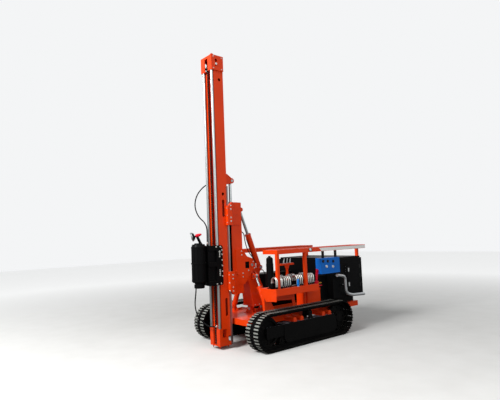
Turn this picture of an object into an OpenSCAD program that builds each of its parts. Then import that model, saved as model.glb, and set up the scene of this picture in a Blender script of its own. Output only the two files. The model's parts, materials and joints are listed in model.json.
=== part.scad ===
// Crawler pile driver rig: a slim mast on a leaning column, a drive head that slides on two tubes,
// and a valve table, tanks and engine housing on a steel frame between two tracks.
// Lengths are in millimetres, the mast stands at the front (towards -Y), +Z is up.

/* [Tracks] */
// Length of a track over its shoes
track_l = 2300; // [2100:10:2600]
// Height of a track over its shoes
track_h = 600; // [540:10:680]
// Width of a track shoe
shoe_w = 300; // [250:10:350]
// Distance between the centre lines of the two tracks
gauge = 1465; // [1400:5:1600]
// Height of a grouser bar on a shoe
grouser_h = 18; // [10:1:26]
// Length of a link, from shoe to shoe
link_pitch = 101; // [90:1:120]

/* [Chassis] */
// Height of the deck's upper face above the ground
deck_z = 480; // [460:5:520]
// Height of the deck's front beam
deck_h = 95; // [80:5:120]
// Place of the front beam behind the front of the tracks
deck_y0 = 120; // [100:5:160]
// Length of the deck
deck_l = 2760; // [2700:10:2900]
// Thickness of the deck's plates
deck_t = 12; // [8:1:16]

/* [Column] */
// Height of the lean pin at the foot of the column
lean_z = 560; // [550:5:580]
// Width of the column at its foot
col_w0 = 280; // [240:5:300]
// Width of the column at its top
col_w1 = 196; // [160:4:210]
// Depth of the column at its foot
col_d0 = 360; // [300:5:400]
// Height of the tilt pin at the top of the column
tilt_z = 1320; // [1300:5:1340]
// Place of the tilt pin behind the front of the tracks
tilt_y = 545; // [530:5:560]
// Radius of the pivot pins
pin_r = 25; // [20:1:30]

/* [Carriage] */
// Width of the carriage beam
beam_w = 280; // [260:5:300]
// Depth of the carriage beam
beam_d = 218; // [200:2:230]
// Thickness of the carriage plates
beam_t = 10; // [8:1:14]
// Height of the lower end of the carriage beam
beam_z0 = 860; // [840:5:880]
// Length of the carriage beam
beam_l = 1530; // [1450:10:1600]
// Space between the back of the mast and the beam
beam_gap = 70; // [60:1:80]

/* [Mast] */
// Width of the mast box
mast_w = 270; // [250:2:280]
// Depth of the mast box
mast_d = 190; // [180:2:200]
// Wall of the mast box
mast_t = 8; // [6:1:10]
// Height of the lower end of the mast box
mast_z0 = 360; // [340:5:380]
// Length of the mast box
mast_l = 4270; // [4000:10:4400]
// Diameter of a guide tube
tube_d = 46; // [40:1:50]
// Place of the mast box's back behind the front of the tracks
mast_back = 75; // [60:1:80]

/* [Drive head] */
// Diameter of the drive drum
drum_d = 240; // [220:2:260]
// Length of the drive drum
drum_l = 610; // [560:10:640]
// Height of the drum's lower face at rest
head_z = 1100; // [1050:10:1200]

/* [Rear body] */
// Width of the engine housing
hood_w = 1400; // [1300:10:1440]
// Length of the engine housing
hood_l = 880; // [800:10:920]
// Height of the engine housing
hood_h = 730; // [700:10:780]
// Sheet thickness of the housing
hood_t = 3; // [2:0.5:5]
// Height of the upper frame's tubes over the ground
frame_z = 1500; // [1480:5:1520]
// Side of the upper frame's square tube
frame_t = 70; // [60:2:80]

/* [Hidden] */
$fn = 48;
red = [0.85, 0.18, 0.05];
black = [0.08, 0.08, 0.09];
steel = [0.75, 0.76, 0.78];
rubber = [0.1, 0.1, 0.1];
fit = 0.3;
shaft_fit = 0.08;
slip = 1;
running = 6;

// The machine's length runs from the drum's front to the housing's back
drum_r = drum_d / 2;
drum_rim = 6;
tube_r = tube_d / 2;
tube_y = mast_back - mast_d - tube_r - 4;
drum_y = tube_y - 290;
machine_front = drum_y - drum_r - drum_rim;
machine_back = deck_y0 + deck_l;
hood_y0 = machine_back - hood_l;
middle_y = (machine_front + machine_back) / 2;
module placed() { translate([0, -middle_y, 0]) children(); }

// Drawings stood upright: facing the front, from y back by t, or facing the side, from x by t
module facing_front(y, t) { translate([0, y + t, 0]) rotate([90, 0, 0]) linear_extrude(t) children(); }
module facing_side(x, t) { translate([x, 0, 0]) rotate([90, 0, 90]) linear_extrude(t) children(); }
module both_sides() { for (s = [0, 1]) mirror([s, 0, 0]) children(); }
module across(x, y, z, l, r) { translate([x, y, z]) rotate([0, 90, 0])
    cylinder(h = l, r = r, center = true); }
module along(x, y, z, l, r) { translate([x, y, z]) rotate([90, 0, 0])
    cylinder(h = l, r = r, center = true); }
// A half profile of [radius, place along the axle], and its mirror image
function whole(p) = concat(p, [for (i = [len(p) - 1:-1:0]) [p[i][0], -p[i][1]]]);

// A hose swept along its points, as a tube with n sides
function along_hose(p, i) = let (a = p[max(i - 1, 0)], b = p[min(i + 1, len(p) - 1)]) (b - a) / norm(b - a);
function unit(v) = v / norm(v);
function hose_ring(p, i, r, n) = let (t = along_hose(p, i), u = unit(cross(t, [0.3, 1, 0.2])),
    v = cross(t, u))
    [for (k = [0:n - 1]) p[i] + r * cos(k * 360 / n) * u + r * sin(k * 360 / n) * v];
module hose(p, r, n) {
    last = len(p) - 1;
    polyhedron([for (i = [0:last]) each hose_ring(p, i, r, n)], concat(
        [[for (k = [0:n - 1]) k]], [[for (k = [n - 1:-1:0]) last * n + k]],
        [for (i = [0:last - 1]) for (k = [0:n - 1])
            [i * n + k, (i + 1) * n + k, (i + 1) * n + (k + 1) % n, i * n + (k + 1) % n]]));
}

// A track's loop: two straight runs and two round ends, through the joints of its links
link_h = 60;
rail_x = 30;
rail_b = 22;
shoe_t = 14;
track_r = track_h / 2 - grouser_h;
axle_y0 = track_h / 2;
axle_y1 = track_l - track_h / 2;
axle_z = track_h / 2;
loop_run = axle_y1 - axle_y0;
shoe_count = round((2 * loop_run + 2 * PI * track_r) / link_pitch);
shoe_pitch = (2 * loop_run + 2 * PI * track_r) / shoe_count;
function loop_at(s, v) =
    let (arc = PI * track_r, r = track_r + v)
    s < loop_run ? [axle_y0 + s, axle_z - r]
    : s < loop_run + arc ? let (a = (s - loop_run) / track_r * 180 / PI)
        [axle_y1 + r * sin(a), axle_z - r * cos(a)]
    : s < 2 * loop_run + arc ? [axle_y1 - (s - loop_run - arc), axle_z + r]
    : let (a = (s - 2 * loop_run - arc) / track_r * 180 / PI) [axle_y0 - r * sin(a), axle_z + r * cos(a)];
// Along a shoe and outwards, as shares of its pitch and of its grouser: a joint, then two grousers
shoe_points = [[0, -0.25], [0.03, 0], [0.14, 1], [0.32, 1], [0.43, 0], [0.57, 0], [0.68, 1], [0.86, 1],
    [0.97, 0]];
shoe_outline = [for (i = [0:shoe_count - 1]) for (p = shoe_points)
    loop_at((i + p[0]) * shoe_pitch, p[1] * grouser_h)];
// The loop's inner shapes have one corner for each link on the round ends, outside the arc
end_links = 9;
function end_arc(y, v, side) = [for (i = [0:end_links - 1])
    let (a = (i + 0.5) * 180 / end_links, r = (track_r + v) / cos(90 / end_links))
    [y - side * r * sin(a), axle_z - side * r * cos(a)]];
module link_loop(v) { polygon(concat(end_arc(axle_y0, v, 1), end_arc(axle_y1, v, -1))); }
module track(side) {
    color([0.35, 0.35, 0.35]) placed() translate([side * gauge / 2, 0, 0]) {
        facing_side(-shoe_w / 2, shoe_w) difference() {
            polygon(shoe_outline);
            link_loop(-shoe_t);
        }
        for (s = [-1, 1]) facing_side(s * (rail_x + rail_b / 2) - rail_b / 2, rail_b) difference() {
            link_loop(-shoe_t + slip);
            link_loop(-link_h);
        }
    }
}
module left_track() { track(1); }
module right_track() { track(-1); }

// Wheels inside the loop, seated a fit's width off the links, with a flange between the two rails
wheel_r = track_r - link_h - 0.5;
rim_x = rail_x + rail_b;
flange_h = 16;
flange_x = rail_x - 3;
axle_r = 34;
axle_hub_r = 60;
web_x = 14;
hub_x = 40;
rim_t = 34;
idler_profile = whole([[axle_r + shaft_fit, -hub_x], [axle_hub_r, -hub_x], [axle_hub_r, -web_x],
    [wheel_r - rim_t, -web_x], [wheel_r - rim_t, -rim_x], [wheel_r, -rim_x], [wheel_r, -flange_x],
    [wheel_r + flange_h, -flange_x + 6]]);
module idlers() {
    color(black) placed() for (side = [-1, 1]) translate([side * gauge / 2, axle_y0, axle_z])
        rotate([0, 90, 0]) rotate_extrude() polygon(idler_profile);
}
tooth_count = 14;
tooth_h = 26;
tooth_base = 22;
tooth_tip = 9;
sprocket_x = 20;
hub_r = 105;
plate_x = 67;
plate_w = 16;
motor_l = 50;
module sprockets() {
    color(black) placed() both_sides() translate([gauge / 2, axle_y1, axle_z]) rotate([0, 90, 0]) {
        translate([0, 0, -sprocket_x]) linear_extrude(2 * sprocket_x) difference() {
            union() {
                circle(wheel_r - 14);
                for (i = [0:tooth_count - 1]) rotate(i * 360 / tooth_count) translate([wheel_r - 16, 0])
                    polygon([[0, -tooth_base], [tooth_h, -tooth_tip], [tooth_h, tooth_tip],
                        [0, tooth_base]]);
            }
            for (i = [0:7]) rotate(i * 45) translate([hub_r + 50, 0]) circle(16);
        }
        translate([0, 0, -plate_x]) cylinder(h = plate_x + hub_x, r = hub_r);
        translate([0, 0, hub_x]) cylinder(h = 22, r = hub_r - 35);
        translate([0, 0, -plate_x - plate_w - motor_l]) cylinder(h = motor_l, r = hub_r);
    }
}
roller_count = 5;
roller_r = 50;
roller_flange = 8;
roller_x = rim_x + 9;
roller_z = axle_z - track_r + link_h + fit + roller_r;
roller_ys = [for (i = [1:roller_count]) axle_y0 + loop_run * i / (roller_count + 1)];
carrier_y = axle_y0 + loop_run * 0.56;
carrier_z = axle_z + track_r - link_h - fit - roller_r;
roller_profile = whole([[0, -roller_x], [roller_r + roller_flange, -roller_x],
    [roller_r + roller_flange, -rim_x - 3], [roller_r, -rim_x - 1], [roller_r, -20], [roller_r - 12, -14]]);
roller_places = concat([for (y = roller_ys) [y, roller_z]], [[carrier_y, carrier_z]]);
module track_rollers() {
    color(black) placed() for (side = [-1, 1]) for (p = roller_places)
        translate([side * gauge / 2, p[0], p[1]]) rotate([0, 90, 0]) rotate_extrude()
            polygon(roller_profile);
}

// The side frames carry the wheels: two plates each, the idler's fork, and a top plate
frame_z0 = axle_z - track_r + link_h + 8;
frame_z1 = deck_z - deck_h;
side_y0 = axle_y0 + 320;
side_y1 = axle_y1 - 100;
corner = 60;
fork_z0 = axle_z - 100;
fork_y0 = axle_y0 - 52;
boss_l = plate_x - roller_x - fit;
module side_plate() {
    polygon([[side_y0, frame_z0 + corner], [side_y0 + corner, frame_z0], [side_y1 - corner, frame_z0],
        [side_y1, frame_z0 + corner], [side_y1, frame_z1 - corner], [side_y1 - corner, frame_z1],
        [side_y0, frame_z1]]);
}
module fork_plate() {
    polygon([[fork_y0, fork_z0 + 15], [fork_y0 + 15, fork_z0], [side_y0 + 20, fork_z0],
        [side_y0 + 20, frame_z1 - 4], [fork_y0 + 15, frame_z1 - 4], [fork_y0, frame_z1 - 19]]);
}
module track_frames() {
    color(black) placed() both_sides() translate([gauge / 2, 0, 0]) {
        facing_side(plate_x, plate_w) side_plate();
        facing_side(-plate_x - plate_w, plate_w) {
            side_plate();
            translate([side_y1 - corner - 20, axle_z - 90]) square([axle_y1 - side_y1 + corner + 20, 150]);
            translate([axle_y1, axle_z]) circle(hub_r + 30);
        }
        for (s = [-1, 1]) {
            facing_side(s * plate_x - plate_w / 2, plate_w) fork_plate();
            for (p = roller_places) across(s * (roller_x + fit + boss_l / 2 + 1), p[0], p[1], boss_l + 2,
                22);
            facing_side(s * (plate_x + 1) - 6, 12) polygon([[carrier_y - 60, frame_z1 - 1],
                [carrier_y + 60, frame_z1 - 1], [carrier_y + 24, carrier_z + 24],
                    [carrier_y - 24, carrier_z + 24]]);
        }
        translate([-plate_x, side_y0, frame_z1 - deck_t])
            cube([2 * plate_x, axle_y1 - wheel_r - 40 - side_y0, deck_t]);
        across(0, axle_y0, axle_z, 2 * plate_x - plate_w + 2, axle_r);
    }
}

// The deck lies between the tracks: a front beam with slanted ends, side channels, cross tubes on the
// side frames, and a top plate
deck_w = gauge - shoe_w - 12;
beam_front = 100;
end_slant = 60;
channel_b = 50;
cross_r = 36;
cross_pitch = 163;
cross_ys = [axle_y0 + 587, axle_y0 + 1290];
cross_half = gauge / 2 + plate_x;
lip_h = 14;
deck_back = machine_back - 20;
module deck() {
    color(red) placed() {
        translate([0, 0, deck_z - deck_h]) difference() {
            linear_extrude(deck_h) polygon([[-deck_w / 2, deck_y0 + beam_front],
                [-deck_w / 2, deck_y0 + end_slant],
                [-deck_w / 2 + end_slant, deck_y0], [deck_w / 2 - end_slant, deck_y0],
                [deck_w / 2, deck_y0 + end_slant], [deck_w / 2, deck_y0 + beam_front]]);
            translate([-deck_w / 2 + end_slant + deck_t, deck_y0 + deck_t, -1])
                cube([deck_w - 2 * (end_slant + deck_t), beam_front - 2 * deck_t, deck_h - deck_t + 1]);
        }
        translate([-deck_w / 2, deck_y0 + beam_front - 1, deck_z - deck_t])
            cube([deck_w, deck_back - deck_y0 - beam_front + 1, deck_t]);
        both_sides() {
            facing_front(deck_y0 + beam_front - 1, deck_back - deck_y0 - beam_front + 1) polygon([
                [deck_w / 2, deck_z - deck_h], [deck_w / 2, deck_z - 1], [deck_w / 2 - deck_t, deck_z - 1],
                [deck_w / 2 - deck_t, deck_z - deck_h + deck_t],
                    [deck_w / 2 - channel_b, deck_z - deck_h + deck_t],
                [deck_w / 2 - channel_b, deck_z - deck_h]]);
            for (x = [185, 245]) translate([x, deck_y0 + beam_front - 1, deck_z - deck_h])
                cube([deck_t, 780, deck_h - 1]);
            translate([deck_w / 2 - deck_t, deck_y0 + beam_front, deck_z - 1])
                cube([deck_t, 640, lip_h + 1]);
            for (y0 = cross_ys) for (y = [y0, y0 + cross_pitch])
                translate([deck_w / 2 - 1, y - 45, frame_z1]) cube([cross_half - deck_w / 2 + 1, 90,
                    deck_t]);
        }
        for (y = [deck_y0 + 860, deck_back - 80]) translate([-deck_w / 2 + deck_t, y, deck_z - deck_h])
            cube([deck_w - 2 * deck_t, deck_t, deck_h - 1]);
        for (y0 = cross_ys) for (y = [y0, y0 + cross_pitch])
            across(0, y, frame_z1 + fit + cross_r, 2 * cross_half, cross_r);
    }
}

// Column: two tapers seen from the front and from the side, cut out of each other
flange_z = lean_z + 72;
flange_t = 20;
col_y0 = tilt_y + 25;
head_r = 100;
lug_t = 30;
plate_t = 18;
foot_gap = 2;
pad_t = 12;
foot_lugs = [col_y0 + 45, col_y0 + col_d0 - 45];
lean_pin_x = 185;
lean_pin_z = 1120;
lean_y = 600;
lean_base_x = 470;
lean_base_z = 545;
eye_t = 44;
tilt_base_y = 830;
tilt_base_z = 1255;
tilt_eye_y = 437;
tilt_eye_z = 2276;
tilt_eye_t = 70;

// A plate with a round head at the top and a wide base, upright in the plane of X and Z
module a_plate(h, base_w, head) {
    polygon([[-base_w / 2, 0], [base_w / 2, 0], [head, h], [-head, h]]);
    translate([0, h]) circle(head);
}
// The two plates beside an eye of thickness t, facing the front at y or facing the side
module front_pair(y, t) {
    for (s = [-1, 1]) facing_front(y + s * (t / 2 + foot_gap + plate_t / 2) - plate_t / 2, plate_t)
        children();
}
module side_pair(t) {
    for (s = [-1, 1]) facing_side(s * (t / 2 + foot_gap + plate_t / 2) - plate_t / 2, plate_t) children();
}
module column_brackets() {
    color(red) placed() {
        for (y = foot_lugs) {
            front_pair(y, lug_t) difference() {
                translate([0, deck_z + pad_t - 1]) a_plate(lean_z - deck_z - pad_t + 1, 220, 44);
                translate([0, lean_z]) circle(pin_r);
            }
            translate([-130, y - 55, deck_z]) cube([260, 110, pad_t]);
        }
        both_sides() {
            front_pair(lean_y, eye_t) difference() {
                translate([lean_base_x, deck_z + pad_t - 1]) a_plate(lean_base_z - deck_z - pad_t + 1,
                    150, 40);
                translate([lean_base_x, lean_base_z]) circle(pin_r);
            }
            translate([lean_base_x - 80, lean_y - 48, deck_z]) cube([160, 96, pad_t]);
        }
    }
}
pin_fit = 0.05;
module pin_y(x, y, z, l) { along(x, y, z, l, pin_r - pin_fit); }
module pin_x(y, z, l) { across(0, y, z, l, pin_r - pin_fit); }
foot_pin_l = lug_t + 2 * (foot_gap + plate_t) + 16;
lean_foot_pin_l = eye_t + 2 * (foot_gap + plate_t) + 16;
module foot_pins() {
    color(steel) placed() {
        for (y = foot_lugs) pin_y(0, y, lean_z, foot_pin_l);
        for (x = [-1, 1]) pin_y(x * lean_base_x, lean_y, lean_base_z, lean_foot_pin_l);
    }
}
hose_r = 8;
column_hose_x = 108;
column_hose_end = [170, 756, 640];
module column() {
    color(red) placed() difference() {
        union() {
            intersection() {
                facing_side(-200, 400) {
                    polygon([[col_y0, flange_z], [col_y0 + col_d0, flange_z], [tilt_y + head_r, tilt_z],
                        [tilt_y - head_r, tilt_z]]);
                    translate([tilt_y, tilt_z]) circle(head_r);
                }
                facing_front(0, 2000) polygon([[-col_w0 / 2, flange_z], [col_w0 / 2, flange_z],
                    [col_w1 / 2, tilt_z - head_r], [col_w1 / 2, tilt_z + head_r + 1],
                    [-col_w1 / 2, tilt_z + head_r + 1], [-col_w1 / 2, tilt_z - head_r]]);
            }
            translate([-col_w0 / 2 - 12, col_y0 - 12, flange_z - flange_t])
                cube([col_w0 + 24, col_d0 + 24, flange_t]);
            for (y = foot_lugs) facing_front(y - lug_t / 2, lug_t)
                translate([0, flange_z - 1]) mirror([0, 1]) a_plate(flange_z - 1 - lean_z, 160, 42);
            both_sides() front_pair(lean_y, eye_t) {
                polygon([[90, lean_pin_z - 70], [lean_pin_x, lean_pin_z - 36],
                    [lean_pin_x, lean_pin_z + 36],
                    [90, lean_pin_z + 90]]);
                translate([lean_pin_x, lean_pin_z]) circle(36);
            }
            side_pair(tilt_eye_t) {
                polygon([[tilt_y + 60, tilt_z - 90], [tilt_base_y - 20, tilt_base_z + 10],
                    [tilt_base_y, tilt_base_z - 42], [tilt_y + 180, tilt_z - 300]]);
                translate([tilt_base_y, tilt_base_z]) circle(42);
            }
            across(column_hose_x / 2 + 24, 800, 1215, column_hose_x - 48, 12);
            translate([col_w0 / 2 + 8, column_hose_end[1] - 16, flange_z - flange_t])
                cube([column_hose_end[0] + 8 - col_w0 / 2, 32, column_hose_end[2] - flange_z + flange_t]);
        }
        across(0, tilt_y, tilt_z, 500, pin_r);
        for (y = foot_lugs) along(0, y, lean_z, lug_t + 2, pin_r);
        for (x = [-1, 1]) along(x * lean_pin_x, lean_y, lean_pin_z, 90, pin_r);
        across(0, tilt_base_y, tilt_base_z, 2 * column_hose_x - 60, pin_r);
    }
}
// The hose from the tilt cylinder down the column, behind its right side
module column_hose() {
    color(rubber) placed() hose([[column_hose_x + fit, 800, 1215], [122, 800, 1215], [140, 802, 1210],
        [160, 806, 1192],
        [176, 812, 1162], [183, 820, 1125], [184, 828, 1080], [182, 830, 1030], [180, 824, 975],
        [178, 808, 920], [175, 790, 865], [172, 773, 810], [170, 762, 760], [170, 757, 710],
        [170, 756, 675], column_hose_end + [0, 0, fit]], hose_r, 10);
}
boom_t = 15;
tilt_pin_l = beam_w + 2 * boom_t + 24;
module tilt_pin() {
    color(steel) placed() {
        pin_x(tilt_y, tilt_z, tilt_pin_l);
        pin_x(tilt_base_y, tilt_base_z, tilt_eye_t + 2 * (foot_gap + plate_t) + 16);
        for (x = [-1, 1]) pin_y(x * lean_pin_x, lean_y, lean_pin_z, eye_t + 2 * (foot_gap + plate_t) + 10);
    }
}

// A cylinder's barrel along +Z from its base eye, and its rod down from its rod eye
neck_gap = 14;
port_r = 12;
port_h = 14;
module barrel(r, l, bore, depth, eye_r, t, port) {
    neck = eye_r + neck_gap;
    difference() {
        union() {
            translate([0, 0, eye_r - 6]) cylinder(h = l - eye_r + 6, r = r);
            rotate([90, 0, 0]) cylinder(h = t, r = eye_r, center = true);
            translate([0, 0, l - 30]) cylinder(h = 30, r = r + 5);
            for (z = [neck + 40, l - 70]) translate([port * (r - 3), 0, z]) rotate([0, port * 90, 0])
                cylinder(h = port_h + 3, r = port_r);
        }
        rotate([90, 0, 0]) cylinder(h = t + 1, r = pin_r, center = true);
        translate([0, 0, l - depth]) cylinder(h = depth + 1, r = bore);
        for (s = [-1, 1]) translate([-r - 1, s * (t / 2 + r) - r, -eye_r])
            cube([2 * r + 2, 2 * r, eye_r + neck]);
    }
}
module rod(r, l, eye_r, t, eye_bore) {
    difference() {
        union() {
            translate([0, 0, -l]) cylinder(h = l, r = r);
            rotate([90, 0, 0]) cylinder(h = t, r = eye_r, center = true);
        }
        rotate([90, 0, 0]) cylinder(h = t + 1, r = eye_bore, center = true);
    }
}
lean_len = norm([lean_base_x - lean_pin_x, lean_pin_z - lean_base_z]);
lean_ang = atan2(lean_base_x - lean_pin_x, lean_pin_z - lean_base_z);
lean_barrel_l = 450;
eye_play = 4;
lean_r = 46;
lean_rod_r = 20;
lean_rod_in = 135;
lean_depth = 235;
module lean_barrel(side) {
    color(red) placed() translate([side * lean_base_x, lean_y, lean_base_z])
        rotate([0, -side * lean_ang, 0])
        barrel(lean_r, lean_barrel_l, lean_rod_r + fit, lean_depth, 40, eye_t, side);
}
module lean_rod(side) {
    color(steel) placed() translate([side * lean_pin_x, lean_y, lean_pin_z])
        rotate([0, -side * lean_ang, 0])
        rod(lean_rod_r, lean_len - lean_barrel_l + lean_rod_in, 36, eye_t, pin_r + eye_play);
}
module left_lean_barrel() { lean_barrel(1); }
module right_lean_barrel() { lean_barrel(-1); }
module left_lean_rod() { lean_rod(1); }
module right_lean_rod() { lean_rod(-1); }
tilt_len = norm([tilt_base_y - tilt_eye_y, tilt_eye_z - tilt_base_z]);
tilt_ang = atan2(tilt_base_y - tilt_eye_y, tilt_eye_z - tilt_base_z);
tilt_barrel_l = 637;
tilt_r = 50;
tilt_rod_r = 25;
tilt_rod_in = 90;
tilt_depth = 510;
tilt_ports = [100, 567];
module on_tilt(y, z) {
    placed() translate([0, y, z]) rotate([tilt_ang, 0, 0]) rotate([0, 0, 90]) children();
}
module tilt_barrel() {
    color(red) on_tilt(tilt_base_y, tilt_base_z)
        barrel(tilt_r, tilt_barrel_l, tilt_rod_r + fit, tilt_depth, 46, tilt_eye_t, -1);
}
module tilt_rod() {
    color(steel) on_tilt(tilt_eye_y, tilt_eye_z)
        rod(tilt_rod_r, tilt_len - tilt_barrel_l + tilt_rod_in, 40, tilt_eye_t, pin_r);
}
// The hose lies along the barrel, between its two ports
module tilt_hose() {
    color(rubber) on_tilt(tilt_base_y, tilt_base_z)
        translate([-tilt_r - hose_r - fit, 0, tilt_ports[0] + port_r + fit])
            cylinder(h = tilt_ports[1] - tilt_ports[0] - 2 * (port_r + fit), r = hose_r);
}

// Carriage: a channel open towards the mast, with the two boom plates on its sides
beam_y0 = mast_back + beam_gap;
beam_y1 = beam_y0 + beam_d;
beam_z1 = beam_z0 + beam_l;
boom_z0 = beam_z0 + 150;
boom_boss_r = 38;
slide_y = beam_y0 + beam_d / 2 - 5;
slide_r = 42;
slide_rod_r = 25;
window = [beam_y1 + 38, tilt_z - 51];
window_w = 95;
window_h = 110;
boom_boss_l = beam_w / 2 - col_w1 / 2 - 4;
module carriage() {
    color(red) placed() difference() {
        union() {
            difference() {
                translate([-beam_w / 2, beam_y0, beam_z0]) cube([beam_w, beam_d, beam_l]);
                translate([-beam_w / 2 + beam_t, beam_y0 - 1, beam_z0 + beam_t])
                    cube([beam_w - 2 * beam_t, beam_d + 1 - beam_t, beam_l - 2 * beam_t]);
            }
            both_sides() facing_side(beam_w / 2, boom_t) difference() {
                union() {
                    polygon([[beam_y0 + 60, boom_z0], [beam_y1 + 20, boom_z0], [tilt_y + 20, tilt_z - 92],
                        [tilt_y + 94, tilt_z + 12], [tilt_y + 84, tilt_z + 90], [tilt_y - 97, tilt_z + 148],
                        [beam_y1 - 34, tilt_z + 300], [beam_y0 + 60, tilt_z + 276]]);
                    translate([tilt_y, tilt_z]) circle(95);
                }
                translate(window) square([window_w, window_h]);
            }
            for (s = [-1, 1]) across(s * (beam_w / 2 - boom_boss_l / 2), tilt_y, tilt_z, boom_boss_l,
                boom_boss_r);
            side_pair(tilt_eye_t) {
                polygon([[beam_y1 - 5, tilt_eye_z - 75], [tilt_eye_y, tilt_eye_z - 36],
                    [tilt_eye_y, tilt_eye_z + 36], [beam_y1 - 5, tilt_eye_z + 75]]);
                translate([tilt_eye_y, tilt_eye_z]) circle(36);
            }
            for (s = [-1, 1]) across(s * (tilt_eye_t / 2 + foot_gap + 15), tilt_eye_y, tilt_eye_z, 30,
                pin_r);
        }
        across(0, tilt_y, tilt_z, 500, pin_r);
        translate([0, slide_y, beam_z1 - beam_t - 1]) cylinder(h = beam_t + 2, r = slide_r + fit);
        across(0, beam_y0 + 61, tilt_z - 148, 500, 23);
    }
}
// A black plate closes each window from the inside, with one bolt through it
module boom_covers() {
    color(black) placed() both_sides() {
        translate([beam_w / 2 - 12, window[0] - 13, window[1] - 15])
            cube([12, window_w + 18, window_h + 30]);
        across(beam_w / 2 + 3, window[0] + window_w / 2, window[1] + window_h / 2, 8, 16);
    }
}
rail_w = 38;
rail_t = 20;
rail_z1 = 2660;
clamp_l = 383;
clamp_x = 205;
clamp_y0 = mast_back - rail_t - slip - 24;
// Height of each clamp's lower end, how far back its leg reaches, and whether it is turned over
clamps = [[beam_z0, beam_y0 + 58, 1], [beam_z1 - clamp_l, beam_y1 - 35, 0]];
module clamp_side(back) {
    polygon([[clamp_y0, 0], [back, 0], [back, 200], [back - 28, 290], [back - 50, clamp_l],
        [clamp_y0 + 90, clamp_l], [clamp_y0, clamp_l - 83]]);
}
module mast_clamps() {
    color(red) placed() for (c = clamps) both_sides() intersection() {
        translate([0, 0, c[0]]) linear_extrude(clamp_l) polygon([[beam_w / 2, c[1]],
            [beam_w / 2 + 25, c[1]],
            [beam_w / 2 + 25, beam_y0 + 30], [clamp_x, beam_y0 - 15], [clamp_x, clamp_y0],
            [mast_w / 2 + running, clamp_y0], [mast_w / 2 + running, clamp_y0 + 24],
            [mast_w / 2 + rail_w + slip, clamp_y0 + 24], [mast_w / 2 + rail_w + slip, mast_back + slip],
            [beam_w / 2, mast_back + slip]]);
        facing_side(0, 300) translate([0, c[0] + c[2] * clamp_l]) mirror([0, c[2]]) clamp_side(c[1]);
    }
}
slide_barrel_l = beam_l - beam_t - 24;
module slide_barrel() {
    color(black) placed() translate([0, slide_y, beam_z0 + beam_t]) difference() {
        cylinder(h = slide_barrel_l + 40, r = slide_r);
        translate([0, 0, 60]) cylinder(h = slide_barrel_l, r = slide_rod_r + fit);
    }
}
slide_eye_z = beam_z1 + 380;
slide_rod_l = 1400;
slide_eye_l = 80;
slide_pin_r = 22;
cheek_t = 16;
cheek_x = slide_eye_l / 2 + 4;
module slide_rod() {
    color(steel) placed() {
        translate([0, slide_y, slide_eye_z - slide_rod_l]) cylinder(h = slide_rod_l, r = slide_rod_r);
        across(0, slide_y, slide_eye_z, slide_eye_l, 38);
        across(0, slide_y, slide_eye_z, 2 * (cheek_x + cheek_t + 8), slide_pin_r);
    }
}
// Two cheeks on the back of the mast hold the eye of the slide cylinder's rod
module rod_bracket() {
    color(red) placed() both_sides() facing_side(cheek_x, cheek_t) difference() {
        union() {
            polygon([[mast_back, slide_eye_z - 70], [mast_back + 81, slide_eye_z - 58],
                [slide_y, slide_eye_z - 46],
                [slide_y, slide_eye_z + 46], [mast_back + 73, slide_eye_z + 114],
                    [mast_back, slide_eye_z + 120]]);
            translate([slide_y, slide_eye_z]) circle(46);
        }
        translate([slide_y, slide_eye_z]) circle(slide_pin_r + shaft_fit);
    }
}

// Mast: a folded channel, open at the front for the chain
mast_y0 = mast_back - mast_d;
mast_z1 = mast_z0 + mast_l;
slot_w = 90;
chamber = 50;
gland_z = 2730;
module mast() {
    color(red) placed() {
        difference() {
            translate([0, 0, mast_z0]) linear_extrude(mast_l) difference() {
                translate([-mast_w / 2, mast_y0]) square([mast_w, mast_d]);
                translate([-mast_w / 2 + mast_t, mast_y0 + mast_t]) square([mast_w - 2 * mast_t, chamber]);
                translate([-mast_w / 2 + mast_t, mast_y0 + 2 * mast_t + chamber])
                    square([mast_w - 2 * mast_t, mast_d - 3 * mast_t - chamber]);
                translate([-slot_w / 2, mast_y0 - 1]) square([slot_w, mast_t + 2]);
            }
            for (z = [mast_z0 + 170, mast_z0 + 1785]) facing_side(-mast_w, 2 * mast_w) {
                translate([-5 - 24, z + 24]) square([48, 240]);
                for (e = [24, 264]) translate([-5, z + e]) circle(24);
            }
            for (z = [mast_z0 + 2165, mast_z1 - 150]) across(0, -5, z, 2 * mast_w, 26);
        }
        translate([-mast_w / 2 - 35, -55, gland_z - 15]) cube([36, 30, 30]);
    }
}
foot_z = 62;
module mast_rails() {
    color(steel) placed() both_sides() translate([mast_w / 2, mast_back - rail_t, foot_z + 18])
        cube([rail_w, rail_t, rail_z1 - foot_z - 18]);
}
tube_x = mast_w / 2 - tube_r;
tube_z0 = mast_z0 - 20;
cap_w = 312;
cap_h = 260;
cap_t = 10;
cap_z = mast_z1;
cap_y0 = tube_y - tube_r - 6;
module guide_tubes() {
    color(steel) placed() for (s = [-1, 1]) translate([s * tube_x, tube_y, tube_z0])
        cylinder(h = cap_z - tube_z0, r = tube_r);
}
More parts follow.
